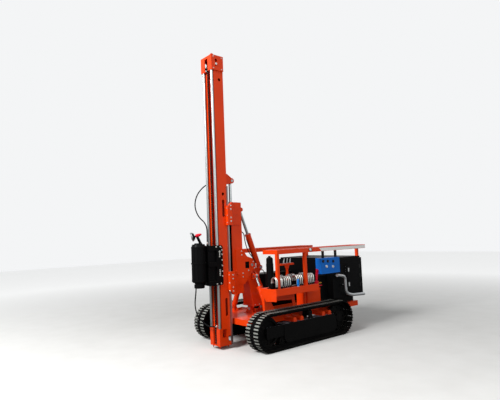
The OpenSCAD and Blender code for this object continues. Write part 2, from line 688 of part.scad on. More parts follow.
// Chain wheel in the cap, its axle held in the keyholes of the side walls
chain_b = 14;
chain_y = tube_y - 6;
wheel_top_r = 60;
wheel_top_y = chain_y + chain_b + fit + wheel_top_r;
wheel_top_z = cap_z + 110;
keyhole_z = cap_z + 175;
top_axle_r = 14;
module keyhole() {
    translate([wheel_top_y - top_axle_r - fit, cap_z + 75]) square([2 * (top_axle_r + fit),
        keyhole_z - cap_z - 75]);
    translate([wheel_top_y, cap_z + 75]) circle(top_axle_r + fit);
    translate([wheel_top_y, keyhole_z]) circle(26);
}
module mast_cap() {
    color(red) placed() difference() {
        union() {
            difference() {
                translate([-cap_w / 2, cap_y0, cap_z]) cube([cap_w, mast_back - cap_y0, cap_h]);
                translate([-cap_w / 2 + cap_t, cap_y0 + cap_t, cap_z + cap_t])
                    cube([cap_w - 2 * cap_t, mast_back - cap_y0 - 2 * cap_t, cap_h - 2 * cap_t]);
                translate([-slot_w / 2, cap_y0 - 1, cap_z - 1]) cube([slot_w, 110, cap_h - cap_t - 30]);
                facing_side(-cap_w, 2 * cap_w) keyhole();
            }
            translate([-12, tube_y + 60, cap_z + cap_h - 1]) cube([24, 60, 61]);
            across(0, tube_y + 90, cap_z + cap_h + 60, 24, 30);
        }
        across(0, tube_y + 90, cap_z + cap_h + 60, 30, 14);
    }
}
foot_slot = 400;
module mast_foot() {
    color(red) placed() {
        difference() {
            translate([-mast_w / 2, tube_y - tube_r + 4, foot_z])
                cube([mast_w, mast_back - tube_y + tube_r - 4, tube_z0 - foot_z]);
            translate([-slot_w / 2, tube_y - tube_r, foot_z + 14]) cube([slot_w, foot_slot, mast_z0]);
            translate([-mast_w / 2 - 1, -100, 190]) cube([mast_w + 2, 80, 135]);
            translate([-mast_w / 2 - 1, mast_back - 60, 120]) cube([mast_w + 2, 61, 90]);
        }
        translate([-mast_w / 2, mast_y0, tube_z0 - 1]) cube([mast_w, mast_d, mast_z0 - tube_z0 + 1]);
        translate([-slot_w / 2 - 1, -70, foot_z + 60]) cube([slot_w + 2, 12, 120]);
        for (x = [-90, 90]) for (y = [tube_y + 10, mast_back - 35]) translate([x, y, 22])
            cylinder(h = foot_z - 21, r1 = 4, r2 = 16);
        translate([46, tube_y - tube_r + 4, tube_z0 - 1]) cube([36, 40, 61]);
    }
}
// The chain's strand, its plates narrowing at each joint, and its top wheel
chain_pitch = 76;
chain_z0 = foot_z + 14;
chain_l = wheel_top_z - chain_z0;
chain_count = floor(chain_l / chain_pitch);
chain_wide = 16;
chain_waist = 11;
chain_edge = [for (i = [0:chain_count - 1]) for (p = [[0.1, chain_waist], [0.6, chain_wide]])
    [p[1], chain_z0 + (i + p[0]) * chain_l / chain_count]];
module mast_chain() {
    color(black) placed() {
        facing_front(chain_y, chain_b) polygon(concat([[chain_waist, chain_z0]], chain_edge,
            [[chain_waist, wheel_top_z], [-chain_waist, wheel_top_z]],
            [for (i = [len(chain_edge) - 1:-1:0]) [-chain_edge[i][0], chain_edge[i][1]]],
            [[-chain_waist, chain_z0]]));
        across(0, wheel_top_y, wheel_top_z, 24, wheel_top_r);
        across(0, wheel_top_y, wheel_top_z, cap_w + 2 * cap_t, top_axle_r);
    }
}

// Drive head: a box that slides on the two tubes and a drum with an output spindle
head_z0 = head_z - 60;
head_h = 640;
head_z1 = head_z0 + head_h;
side_t = 12;
side_back = tube_y + 77;
head_x = mast_w / 2 + running + side_t;
module head_carriage() {
    color(black) placed() difference() {
        union() {
            translate([-head_x, drum_y + 100, head_z0]) cube([2 * head_x, tube_y - drum_y - 100, head_h]);
            both_sides() facing_side(head_x - side_t, side_t) polygon([[tube_y - 20, head_z0],
                [side_back - 20, head_z0], [side_back, head_z0 + 20], [side_back, head_z1 - 20],
                [side_back - 20, head_z1], [tube_y - 20, head_z1]]);
            translate([-92, -195, head_z1 - 1]) cylinder(h = 21, r = 16);
        }
        for (s = [-1, 1]) translate([s * tube_x, tube_y, head_z0 - 1])
            cylinder(h = head_h + 2, r = tube_r + slip);
        translate([-28, tube_y - 30, head_z0 - 1]) cube([56, 60, head_h + 2]);
        translate([0, drum_y, head_z0 - 1]) cylinder(h = head_h + 2, r = drum_r + fit);
        translate([0, drum_y, head_z + drum_l / 2 - 10 - fit])
            cylinder(h = 20 + 2 * fit, r = drum_r + drum_rim + fit);
        both_sides() for (w = [[head_z0 + 70, 230], [head_z0 + 370, 190]])
            translate([head_x - 34, drum_y + 99, w[0]]) cube([35, tube_y - drum_y - 139, w[1]]);
    }
}
drum_b = drum_r - 6;
flange_l = 24;
rib_count = 12;
hose_gland = [-105, drum_y, 1048];
module drive_drum() {
    color(black) placed() {
        translate([0, drum_y, head_z]) {
            rotate_extrude() polygon([[0, 0], [drum_b - 12, 0], [drum_b, 12], [drum_b, 20], [drum_r, 20],
                [drum_r, 20 + flange_l], [drum_b, 20 + flange_l], [drum_b, drum_l / 2 - 10],
                [drum_r + drum_rim, drum_l / 2 - 10], [drum_r + drum_rim, drum_l / 2 + 10],
                [drum_b, drum_l / 2 + 10], [drum_b, drum_l - 40 - flange_l],
                    [drum_r, drum_l - 40 - flange_l],
                [drum_r, drum_l - 40], [drum_b, drum_l - 40], [drum_b - 14, drum_l], [70, drum_l],
                [62, drum_l + 18], [0, drum_l + 18]]);
            for (i = [0:rib_count - 1]) rotate((i + 0.5) * 360 / rib_count)
                for (z = [20 + flange_l - 1, drum_l / 2 + 9]) translate([drum_b - 3, -7, z])
                    cube([8, 14, drum_l / 2 - 29 - flange_l - (z > drum_l / 2 ? 19 : 0)]);
        }
        translate(hose_gland) cylinder(h = head_z - hose_gland[2] + 20, r = 14);
    }
}
spindle_l = 90;
spindle_r = 84;
socket_r = 50;
socket_l = 70;
module drive_spindle() {
    color(black) placed() translate([0, drum_y, head_z - spindle_l]) rotate_extrude()
        polygon([[socket_r, 0],
        [spindle_r - 6, 0], [spindle_r, 8], [spindle_r, spindle_l - 30], [spindle_r - 8, spindle_l - 30],
        [spindle_r - 8, spindle_l - fit], [0, spindle_l - fit], [0, socket_l], [socket_r, socket_l]]);
}
// A round work lamp on a bar from the box's top, turned down to the left
lamp_at = [-156, drum_y, 1837];
module head_lamp() {
    color(black) placed() {
        facing_side(lamp_at[0] + 26, 12) polygon([[-325, head_z1], [-255, head_z1], [-350, lamp_at[2] + 30],
            [-410, lamp_at[2] + 30], [-410, lamp_at[2] - 25]]);
        translate(lamp_at) rotate([0, 107.6, -122]) difference() {
            cylinder(h = 60, r = 75, center = true);
            translate([0, 0, 18]) cylinder(h = 20, r = 66);
        }
    }
}
// Two hoses of the head: one from the mast's left side, one round to the mast's foot
drive_hose_r = 10;
module head_hose() {
    color(rubber) placed() hose([[-170.3, -40, 2730], [-200, -40, 2730], [-235, -50, 2726],
        [-270, -64, 2714],
        [-302, -84, 2694], [-330, -108, 2664], [-354, -134, 2626], [-374, -160, 2582], [-388, -182, 2534],
        [-396, -200, 2482], [-396, -213, 2430], [-388, -223, 2378], [-372, -229, 2328], [-350, -232, 2280],
        [-322, -232, 2234], [-290, -230, 2192], [-255, -226, 2156], [-218, -220, 2124], [-180, -212, 2096],
        [-146, -204, 2064], [-118, -198, 2024], [-100, -194, 1978], [-93, -193, 1930], [-92, -193, 1880],
        [-92, -194, 1830], [-92, -195, 1780], [-92, -195, 1740], [-92, -195, 1700.3]], drive_hose_r, 10);
}
module foot_hose() {
    color(rubber) placed() hose([[-105, -432, 1047.7], [-105, -432, 1005], [-110, -432, 960],
        [-118, -432, 912], [-130, -431, 864], [-143, -429, 816], [-156, -425, 768], [-167, -418, 720],
        [-175, -408, 672], [-181, -394, 624], [-185, -376, 578], [-186, -354, 536], [-184, -330, 498],
        [-178, -304, 466], [-167, -280, 440], [-150, -264, 418], [-126, -256, 402], [-98, -253, 391],
        [-72, -250, 385], [-46, -247, 381], [-20, -246, 378], [6, -242, 377], [29, -230, 376],
        [47, -212, 375], [60, -188, 375], [64, -172, 375], [64, -161.3, 375]], drive_hose_r, 10);
}

// Operator's side: a sheet table on legs, with its valve banks, levers and filter
table_x0 = 475;
table_x1 = 870;
table_y0 = 440;
table_l = 990;
table_z = 950;
table_h = 105;
table_t = 6;
web_side_x = 552;
module valve_table() {
    color(red) placed() {
        difference() {
            translate([table_x0, table_y0, table_z - table_h])
                cube([table_x1 - table_x0, table_l, table_h]);
            translate([table_x0 + table_t, table_y0 + table_t, table_z - table_h - 1])
                cube([table_x1 - table_x0 - 2 * table_t, table_l - 2 * table_t, table_h + 1 - table_t]);
        }
        facing_front(table_y0 - 8, 9) polygon([[table_x0, table_z - 10], [table_x1, table_z],
            [table_x1 - 12, table_z - 190], [table_x0 + 138, table_z - 206]]);
        facing_front(table_y0, 12) polygon([[table_x0 + 25, table_z - 20], [web_side_x + 12, table_z - 20],
            [web_side_x + 12, deck_z], [web_side_x - 30, deck_z]]);
        facing_side(web_side_x, 12) {
            polygon([[table_y0 + 11, deck_z], [table_y0 + 280, deck_z], [table_y0 + 120, table_z - 190],
                [table_y0 + 11, table_z - 60]]);
            polygon([[table_y0 + 11, table_z - 120], [1130, 790], [1130, 700], [table_y0 + 11, 735]]);
            polygon([[1060, table_z - 1], [1120, table_z - 1], [1150, deck_z], [1090, deck_z]]);
        }
        translate([540, table_y0 + table_l - 60, deck_z]) cube([30, 30, table_z - deck_z - 1]);
    }
}
// Three valve banks between the table's front and rear margins
bank_front = 280;
bank_rear = 150;
bank_count = 3;
bank_ys = [for (i = [0:bank_count - 1])
    table_y0 + bank_front + i * (table_l - bank_front - bank_rear) / (bank_count - 1)];
bank_x = 670;
bank_w = 120;
bank_h = 80;
base_w = 200;
base_l = 230;
base_t = 12;
spool_r = 14;
spool_l = 19;
slice_t = 36;
slice_pitch = 42;
slice_count = 5;
function slice_y(y, i) = y + (i - (slice_count - 1) / 2) * slice_pitch;
module valve_banks() {
    color(black) placed() for (y = bank_ys) {
        translate([bank_x - base_w / 2, y - base_l / 2, table_z]) cube([base_w, base_l, base_t]);
        for (i = [0:slice_count - 1]) {
            translate([bank_x - bank_w / 2, slice_y(y, i) - slice_t / 2, table_z + base_t - 1])
                cube([bank_w, slice_t, bank_h + 1]);
            translate([bank_x + 34, slice_y(y, i), table_z + base_t + bank_h - 1])
                cylinder(h = spool_l, r = spool_r);
        }
        translate([bank_x - bank_w / 2 + 15, y - 90, table_z + base_t])
            cube([bank_w - 30, 180, bank_h - 15]);
    }
}
// Bent chrome handles on the banks, and three straight ones on the stand
handle_r = 8;
handle_h = 70;
handle_b = 28;
stand_x = 510;
stand_ys = [960, 1035, 1110];
stand_z = 1320;
module valve_levers() {
    color(steel) placed() {
        for (y = bank_ys) for (i = [0:slice_count - 2]) translate([bank_x, slice_y(y, i)
            + slice_pitch / 2 - 14,
            table_z + base_t + bank_h]) {
            cylinder(h = handle_h, r = handle_r);
            translate([-handle_b, 0, handle_h]) rotate([90, 0, 0]) rotate_extrude(angle = 180)
                translate([handle_b, 0]) circle(handle_r);
            translate([-2 * handle_b, 0, handle_h - 30]) cylinder(h = 30, r = handle_r);
        }
        for (y = stand_ys) translate([stand_x, y, stand_z]) {
            cylinder(h = 16, r = 13);
            translate([0, 0, 8]) rotate([-14, 0, 0]) cylinder(h = 80, r = 9);
        }
    }
}
module lever_stand() {
    color(red) placed() {
        translate([stand_x - 25, stand_ys[1] - 70, table_z]) cube([50, 140, 10]);
        facing_front(stand_ys[1] - 5, 10) polygon([[stand_x - 25, table_z + 9], [stand_x + 25, table_z + 9],
            [stand_x + 20, stand_z - 30], [stand_x - 20, stand_z - 30]]);
        facing_side(stand_x - 5, 10) polygon([[stand_ys[1] - 50, table_z + 9],
            [stand_ys[1] + 50, table_z + 9],
            [stand_ys[1] + 20, stand_z - 120], [stand_ys[1] + 60, stand_z - 30],
                [stand_ys[1] - 60, stand_z - 30],
            [stand_ys[1] - 20, stand_z - 120]]);
        translate([stand_x - 25, stand_ys[0] - 75, stand_z - 31]) cube([50, 300, 31]);
    }
}
canister_r = 60;
canister_h = 525;
canister_at = [640, table_y0 + 80];
module filter_canister() {
    color(black) placed() translate([canister_at[0], canister_at[1], table_z]) rotate_extrude()
        polygon([[0, 0], [55, 0], [55, 10], [30, 10], [30, 32], [canister_r, 32],
            [canister_r, canister_h - 125], [canister_r - 4, canister_h - 121],
            [canister_r - 4, canister_h - 45], [canister_r - 18, canister_h - 25],
            [20, canister_h - 17], [20, canister_h], [0, canister_h]]);
}
// Hand valve on a shelf at the table's rear end, with a web under the shelf and a flat handle
valve_x = 760;
valve_y = table_y0 + table_l + 65;
shelf = [140, 125, 12];
shelf_z = table_z - 45;
valve_r = 38;
valve_l = 70;
stem_r = 12;
stem_l = 40;
handle_t = 16;
module hand_valve() {
    color(red) placed() {
        translate([valve_x - shelf[0] / 2, valve_y - 65, shelf_z]) cube(shelf);
        facing_side(valve_x - 6, 12) translate([valve_y - 65, shelf_z + 1])
            polygon([[0, 0], [0, -46], [105, 0]]);
        translate([valve_x, valve_y, shelf_z + 11]) cylinder(h = valve_l, r = valve_r);
        translate([valve_x, valve_y, shelf_z + 10 + valve_l]) cylinder(h = stem_l, r = stem_r);
        facing_side(valve_x - handle_t / 2, handle_t) translate([valve_y, shelf_z + 25 + valve_l])
            polygon([[-15, 0], [17, 0], [55, 180], [5, 196]]);
    }
}

// Upper frame: a half on each side of the folded mast's place, on posts
side_x = 850;
inner_x = 500;
frame_y0 = table_y0 + 60;
frame_y1 = machine_back - 60;
hood_z0 = track_h + 20;
module upper_frame() {
    color(red) placed() {
        both_sides() {
            translate([side_x - frame_t, frame_y0, frame_z]) cube([frame_t, frame_y1 - frame_y0, frame_t]);
            translate([inner_x, frame_y0, frame_z]) cube([frame_t, frame_y1 - frame_y0, frame_t]);
            for (y = [frame_y0, frame_y1 - frame_t]) translate([inner_x + frame_t - 1, y, frame_z])
                cube([side_x - inner_x - 2 * frame_t + 2, frame_t, frame_t]);
            translate([side_x - 210, machine_back - 110, hood_z0 + hood_h])
                cube([50, 50, frame_z - hood_z0 - hood_h + 1]);
            translate([side_x - 211, frame_y1 - frame_t, frame_z]) cube([52, frame_t, frame_t]);
        }
        for (y = [frame_y0, frame_y0 + 640]) translate([side_x - frame_t + 10, y, table_z])
            cube([50, 50, frame_z - table_z + 1]);
        translate([-inner_x - 50, frame_y0, deck_z]) cube([50, 50, frame_z - deck_z + 1]);
    }
}
module frame_lamp() {
    color(steel) placed() {
        across(side_x + 9, 1267, frame_z + 42, 18, 26);
        across(side_x + 3, 1290, frame_z + 38, 6, 30);
    }
}
louvre_count = 8;
module engine_housing() {
    color(black) placed() {
        difference() {
            translate([-hood_w / 2, hood_y0, hood_z0]) cube([hood_w, hood_l, hood_h - 30]);
            translate([-hood_w / 2 + hood_t, hood_y0 + hood_t, hood_z0 - 1])
                cube([hood_w - 2 * hood_t, hood_l - 2 * hood_t, hood_h - 30 + 1 - hood_t]);
            for (i = [0:louvre_count - 1]) translate([-hood_w / 2 - 1, hood_y0 + 300,
                hood_z0 + 300 + i * 40])
                cube([hood_w + 2, 100, 14]);
            for (i = [0:louvre_count + 3]) translate([-hood_w / 2 + 180, machine_back - hood_t - 1,
                hood_z0 + 120 + i * 40])
                cube([hood_w - 360, hood_t + 2, 16]);
        }
        both_sides() translate([hood_w / 2 - 1, hood_y0 + 430, hood_z0 + 90]) cube([3, 400, hood_h - 200]);
        translate([-hood_w / 2 + 20, hood_y0 + 20, hood_z0 + hood_h - 31])
            cube([hood_w - 40, hood_l - 40, 31]);
        for (x = [-hood_w / 2 + hood_t, hood_w / 2 - hood_t - 200])
            for (y = [hood_y0 + hood_t, machine_back - 103])
            translate([x, y, hood_z0]) cube([200, 100, 8]);
        for (x = [-500, 440]) translate([x, hood_y0 + 60, deck_z])
            cube([60, hood_l - 120, hood_z0 - deck_z]);
        for (y = [hood_y0 + 60, hood_y0 + hood_l - 160]) translate([-hood_w / 2 + hood_t, y, hood_z0])
            cube([hood_w - 2 * hood_t, 60, 10]);
    }
}
engine_size = [600, 560, 620];
module engine() {
    color(steel) placed() translate([-engine_size[0] / 2, hood_y0 + 150, deck_z]) cube(engine_size);
}
tank_t = 5;
left_tank = [270, 190, 560];
right_tank = [320, 900, 620];
tank_x = 300;
cap_r = 45;
cap_l = 40;
module shell_box(size) {
    difference() {
        cube(size);
        translate([tank_t, tank_t, tank_t]) cube(size - 2 * [tank_t, tank_t, tank_t]);
    }
}
module oil_tank() {
    color(black) placed() {
        translate([tank_x, hood_y0 - 5 - left_tank[1], deck_z]) shell_box(left_tank);
        translate([-240 - right_tank[0], hood_y0 - 100 - right_tank[1], deck_z]) shell_box(right_tank);
        for (p = [[tank_x + left_tank[0] / 2, hood_y0 - 5 - left_tank[1] / 2, left_tank[2]],
            [-240 - right_tank[0] / 2, hood_y0 - 300, right_tank[2]]])
            translate([p[0], p[1], deck_z + p[2]]) cylinder(h = cap_l, r = cap_r);
    }
}
tool_size = [270, 340, 330];
lid_rim = 4;
lid_t = 20;
module tool_box() {
    color(red) placed() translate([tank_x, hood_y0 - 210 - tool_size[1], deck_z]) {
        shell_box(tool_size);
        translate([-lid_rim, -lid_rim, tool_size[2]])
            cube([tool_size[0] + 2 * lid_rim, tool_size[1] + 2 * lid_rim, lid_t]);
    }
}
box_y = table_y0 + table_l + 130;
box_z = 1100;
box_h = 275;
box_x = side_x - 20;
box_w = 130;
box_l = 500;
module control_box() {
    color([0.1, 0.35, 0.75]) placed() {
        translate([box_x - box_w, box_y, box_z]) cube([box_w, box_l, box_h]);
        for (y = [box_y + 60, box_y + box_l - 100]) translate([side_x - 60, y, box_z + box_h - 1])
            cube([30, 40, frame_z - box_z - box_h + 1]);
    }
}
// Places of the round dials on the box's side, along it and up
dials = [[50, 222], [175, 216], [320, 206], [135, 126], [306, 113]];
dial_r = 26;
dial_l = 14;
module gauges() {
    color(steel) placed() for (d = dials) across(box_x + dial_l / 2, box_y + d[0], box_z + d[1], dial_l,
        dial_r);
}
// Exhaust pipe along the housing's side, with its points [y, z] and its three stays
pipe_gap = 80;
pipe_x = hood_w / 2 + pipe_gap;
pipe_r = 28;
pipe_points = [[2035, 1040], [2247, 1008], [2267, 695], [2435, 646], [2800, 630]];
pipe_stays = [[2080, 1033], [2257, 850], [2560, 642]];
stay_r = 12;
// A route with each corner drawn as a short bend
function bent(p, d) = [p[0], for (i = [1:len(p) - 2])
    let (a = unit(p[i - 1] - p[i]), b = unit(p[i + 1] - p[i]))
    for (t = [0:0.2:1]) p[i] + d * ((1 - t) * (1 - t) * a + t * t * b), p[len(p) - 1]];
pipe_bend = 70;
module exhaust_pipe() {
    color(steel) placed() {
        hose(bent([for (p = pipe_points) [pipe_x, p[0], p[1]]], pipe_bend), pipe_r, 24);
        for (p = pipe_stays) across(pipe_x - pipe_gap / 2, p[0], p[1], pipe_gap, stay_r);
    }
}

left_track();
right_track();
track_frames();
idlers();
sprockets();
track_rollers();
deck();
column_brackets();
foot_pins();
column();
column_hose();
tilt_pin();
left_lean_barrel();
left_lean_rod();
right_lean_barrel();
right_lean_rod();
carriage();
boom_covers();
mast_clamps();
slide_barrel();
tilt_barrel();
tilt_rod();
tilt_hose();
mast();
guide_tubes();
mast_rails();
mast_cap();
mast_foot();
mast_chain();
rod_bracket();
slide_rod();
head_carriage();
drive_drum();
drive_spindle();
head_lamp();
head_hose();
foot_hose();
valve_table();
valve_banks();
valve_levers();
lever_stand();
filter_canister();
hand_valve();
control_box();
gauges();
upper_frame();
frame_lamp();
tool_box();
engine_housing();
engine();
oil_tank();
exhaust_pipe();
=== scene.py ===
import json
import math

import bmesh
import bpy
from mathutils import Matrix, Vector


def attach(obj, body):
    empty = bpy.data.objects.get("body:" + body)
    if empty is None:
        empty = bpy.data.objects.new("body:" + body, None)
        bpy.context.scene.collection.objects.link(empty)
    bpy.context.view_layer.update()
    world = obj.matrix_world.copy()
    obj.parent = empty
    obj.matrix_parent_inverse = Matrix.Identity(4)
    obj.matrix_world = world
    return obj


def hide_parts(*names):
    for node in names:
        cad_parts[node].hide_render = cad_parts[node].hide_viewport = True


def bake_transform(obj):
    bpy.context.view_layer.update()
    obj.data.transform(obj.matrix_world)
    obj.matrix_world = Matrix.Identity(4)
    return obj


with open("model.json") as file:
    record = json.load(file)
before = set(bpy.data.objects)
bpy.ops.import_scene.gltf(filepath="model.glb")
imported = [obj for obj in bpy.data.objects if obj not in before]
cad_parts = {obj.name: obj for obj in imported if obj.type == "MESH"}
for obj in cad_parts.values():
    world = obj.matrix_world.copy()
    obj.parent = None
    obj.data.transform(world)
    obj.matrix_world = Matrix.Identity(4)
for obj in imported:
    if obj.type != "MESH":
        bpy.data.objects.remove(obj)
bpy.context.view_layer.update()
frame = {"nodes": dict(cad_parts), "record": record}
scene = bpy.context.scene
print("frame loaded,", len(frame["nodes"]), "nodes")

# camera, where the photograph was taken from: a standing eye, on the valve table's side and ahead
view = {
    "place": (6.1328, -5.601, 1.7982),
    "turn": (94.69, 2.226, 50.272),   # degrees about X, Y, Z
    "focalPixels": 449,
    "imageWidth": 500,
    "sensorMm": 36.0,
    "farClip": 200,
}


def makeCamera(shot):
    lens = bpy.data.cameras.new("camera")
    lens.sensor_width = shot["sensorMm"]
    lens.lens = shot["focalPixels"] / shot["imageWidth"] * shot["sensorMm"]
    lens.clip_end = shot["farClip"]
    camera = bpy.data.objects.new("camera", lens)
    camera.location = shot["place"]
    camera.rotation_euler = [math.radians(a) for a in shot["turn"]]
    scene.collection.objects.link(camera)
    scene.camera = camera


makeCamera(view)


# materials
def linear(hexColour):
    # sRGB hex to the linear values that the shader takes
    out = []
    for i in (0, 2, 4):
        c = int(hexColour[i:i + 2], 16) / 255
        out.append(c / 12.92 if c <= 0.04045 else ((c + 0.055) / 1.055) ** 2.4)
    return (*out, 1.0)


def setNode(node, settings=None, links=None):
    # settings: attribute or socket to value; links: socket to the node, or the output, that feeds it
    # a colour Mix has its factor at socket 0 and its two colours at 6 and 7, and gives output 2
    for key, value in (settings or {}).items():
        if isinstance(key, str) and hasattr(node, key):
            setattr(node, key, value)
        else:
            node.inputs[key].default_value = value
    for key, source in (links or {}).items():
        output = source.outputs[0] if isinstance(source, bpy.types.Node) else source
        node.id_data.links.new(output, node.inputs[key])
    return node


def addNode(tree, kind, settings=None, links=None):
    return setNode(tree.nodes.new("ShaderNode" + kind), settings, links)


def newMaterial(name):
    # also gives the coordinates' outputs: every pattern is laid out in the object's own
    material = bpy.data.materials.new(name)
    material.use_nodes = True
    tree = material.node_tree
    tree.nodes.clear()
    shader = addNode(tree, "BsdfPrincipled")
    addNode(tree, "OutputMaterial", links={"Surface": shader})
    return material, tree, shader, addNode(tree, "TexCoord").outputs


def perMetre(sizeMm):
    # the noise scale that gives a feature of this size
    return 1000 / sizeMm


bumpHeight = 0.001   # metres, for the bump of every finish but the lens

# sprayed enamel: a glossy coat over colour, with orange peel, fine chips and a pale tone on what faces up,
# which is dust and, on the track frames, a painted reflection
enamelGrain = {
    "patchMm": 350,   # slow drift of the tone
    "gritMm": 60,     # dust and painted reflection, and how far it dulls the gloss
    "chipMm": 14,     # coarser than real chips, so that they show
    "dustAndSheenLevel": {"From Min": 0.45, "From Max": 0.8},     # of the grit, from bare to full: dust, and on the track frames painted reflection
    "top": {"From Min": 0.5, "From Max": 0.95},       # how far a face looks up before dust, and on the track frames painted reflection, stays on it
    "chipped": {"From Min": 0.52, "From Max": 0.62},  # chips come only where the patches are this strong
    "chipEdge": 0.05, "dulling": 0.2, "coatRoughness": 0.08,
}


def sprayedEnamel(name, colour, shade, chip="4A2A20", chipShare=0.62, dustAndSheen="9A8F80", dustAndSheenShare=0.35,
                  rough=0.3, coat=0.12, gloss=0.2, peelMm=6, peel=0.05):
    grain = enamelGrain
    material, tree, shader, spot = newMaterial(name)
    here = {"Vector": spot["Object"]}
    patches = addNode(tree, "TexNoise", {"Scale": perMetre(grain["patchMm"]), "Detail": 4.0}, here)
    tone = addNode(tree, "Mix", {"data_type": "RGBA", 6: linear(colour), 7: linear(shade)}, {0: patches})
    facing = addNode(tree, "SeparateXYZ", links={0: spot["Normal"]})
    grit = addNode(tree, "TexNoise",
                   {"Scale": perMetre(grain["gritMm"]), "Detail": 8.0, "Roughness": 0.7}, here)
    # the pale tone on what faces up: dust, and on the track frames a painted reflection
    dustAndSheenLevel = addNode(tree, "MapRange", {**grain["dustAndSheenLevel"], "To Max": dustAndSheenShare}, {"Value": grit})
    top = addNode(tree, "MapRange", grain["top"], {"Value": facing.outputs[2]})
    both = addNode(tree, "Math", {"operation": "MULTIPLY"}, {0: dustAndSheenLevel, 1: top})
    withDustAndSheen = addNode(tree, "Mix", {"data_type": "RGBA", 7: linear(dustAndSheen)}, {0: both, 6: tone.outputs[2]})
    # chips, where a fine noise and the patches are both high
    fine = addNode(tree, "TexNoise",
                   {"Scale": perMetre(grain["chipMm"]), "Detail": 5.0, "Roughness": 0.6}, here)
    chipped = addNode(tree, "MapRange", {"From Min": chipShare, "From Max": chipShare + grain["chipEdge"]},
                      {"Value": fine})
    few = addNode(tree, "MapRange", grain["chipped"], {"Value": patches})
    chips = addNode(tree, "Math", {"operation": "MULTIPLY"}, {0: chipped, 1: few})
    final = addNode(tree, "Mix", {"data_type": "RGBA", 7: linear(chip)}, {0: chips, 6: withDustAndSheen.outputs[2]})
    orangePeel = addNode(tree, "TexNoise", {"Scale": perMetre(peelMm), "Detail": 1.0}, here)
    bump = addNode(tree, "Bump", {"Strength": peel, "Distance": bumpHeight}, {"Height": orangePeel})
    roughness = addNode(tree, "MapRange", {"To Min": rough, "To Max": rough + grain["dulling"]},
                        {"Value": grit})
    setNode(shader,
            {"Specular IOR Level": gloss, "Coat Weight": coat, "Coat Roughness": grain["coatRoughness"]},
            {"Base Color": final.outputs[2], "Normal": bump, "Roughness": roughness})
    return material


def boxEnamel(name, colour, shade, paintedHangerShade, boxTop):
    # the same enamel, with another colour above a height in metres: black painted shade on the hangers
    material = sprayedEnamel(name, colour, shade, chip="16283C", dustAndSheenShare=0.15)
    tree = material.node_tree
    shader = next(n for n in tree.nodes if n.type == "BSDF_PRINCIPLED")
    below = shader.inputs["Base Color"].links[0].from_socket
    height = addNode(tree, "SeparateXYZ", links={0: addNode(tree, "TexCoord").outputs["Object"]})
    # above the box top the colour is painted shade
    above = addNode(tree, "Math", {"operation": "GREATER_THAN", 1: boxTop}, {0: height.outputs[2]})
    both = addNode(tree, "Mix", {"data_type": "RGBA", 7: linear(paintedHangerShade)}, {0: above, 6: below})
    setNode(shader, links={"Base Color": both.outputs[2]})
    return material


def bareMetal(name, colour, shade, rough, spread, markMm, stretch=(1, 1, 1), depth=0.05):
    # turned, chromed or cast, by its roughness and by the size and stretch of its marks
    material, tree, shader, spot = newMaterial(name)
    place = addNode(tree, "Mapping", {"Scale": stretch}, {"Vector": spot["Object"]})
    marks = addNode(tree, "TexNoise", {"Scale": perMetre(markMm), "Detail": 6.0, "Roughness": 0.6},
                    {"Vector": place})
    tone = addNode(tree, "Mix", {"data_type": "RGBA", 6: linear(colour), 7: linear(shade)}, {0: marks})
    roughness = addNode(tree, "MapRange", {"To Min": rough, "To Max": rough + spread}, {"Value": marks})
    bump = addNode(tree, "Bump", {"Strength": depth, "Distance": bumpHeight}, {"Height": marks})
    setNode(shader, {"Metallic": 1.0},
            {"Base Color": tone.outputs[2], "Normal": bump, "Roughness": roughness})
    return material


def moulded(name, colour, shade, rough, grainMm, depth=0.15, gloss=0.3, coat=0.0, driftMm=90):
    # no metal: a soft highlight, a fine grain and a slow drift of the tone
    material, tree, shader, spot = newMaterial(name)
    here = {"Vector": spot["Object"]}
    grain = addNode(tree, "TexNoise", {"Scale": perMetre(grainMm), "Detail": 4.0}, here)
    drift = addNode(tree, "TexNoise", {"Scale": perMetre(driftMm), "Detail": 3.0}, here)
    tone = addNode(tree, "Mix", {"data_type": "RGBA", 6: linear(colour), 7: linear(shade)}, {0: drift})
    bump = addNode(tree, "Bump", {"Strength": depth, "Distance": bumpHeight}, {"Height": grain})
    setNode(shader, {"Roughness": rough, "Specular IOR Level": gloss, "Coat Weight": coat},
            {"Base Color": tone.outputs[2], "Normal": bump})
    return material


def lampLens(name, colour, ribMm, ribHeight=0.002):
    # clear pressed glass over a pale reflector, which is near enough opaque from outside
    material, tree, shader, spot = newMaterial(name)
    ribs = addNode(tree, "TexVoronoi", {"Scale": perMetre(ribMm)}, {"Vector": spot["Object"]})
    tone = addNode(tree, "Mix", {"data_type": "RGBA", 6: linear(colour), 7: linear("FFFFFF")}, {0: ribs})
    bump = addNode(tree, "Bump", {"Strength": 0.4, "Distance": ribHeight}, {"Height": ribs})
    setNode(shader, {"Roughness": 0.08, "Coat Weight": 1.0, "Coat Roughness": 0.03},
            {"Base Color": tone.outputs[2], "Normal": bump})
    return material


# sprayed on welded steel: even orange red, half glossy, a little dust on its tops
redEnamel = sprayedEnamel("redEnamel", "EC4206", "E03A04", dustAndSheenShare=0.2)
# the hand valve's and lamp plug's red, colder and deeper than the machine's
crimsonEnamel = sprayedEnamel("crimsonEnamel", "DC0A2C", "C80A26", dustAndSheenShare=0.15)
# sprayed sheet steel of housing and drum: nearly matt, so that only its edges catch light
blackEnamel = sprayedEnamel("blackEnamel", "050506", "09090A", chip="2A2826", dustAndSheenShare=0.15, rough=0.4,
                            coat=0.02, gloss=0.05)
# thin black on cast track parts: rough skin, grey chips and dull soil dust
trackEnamel = sprayedEnamel("trackEnamel", "050505", "0A0A0A", chip="2C2926", chipShare=0.57, dustAndSheen="4A453F",
                            dustAndSheenShare=0.3, rough=0.5, coat=0.0, gloss=0.05, peelMm=9, peel=0.2)
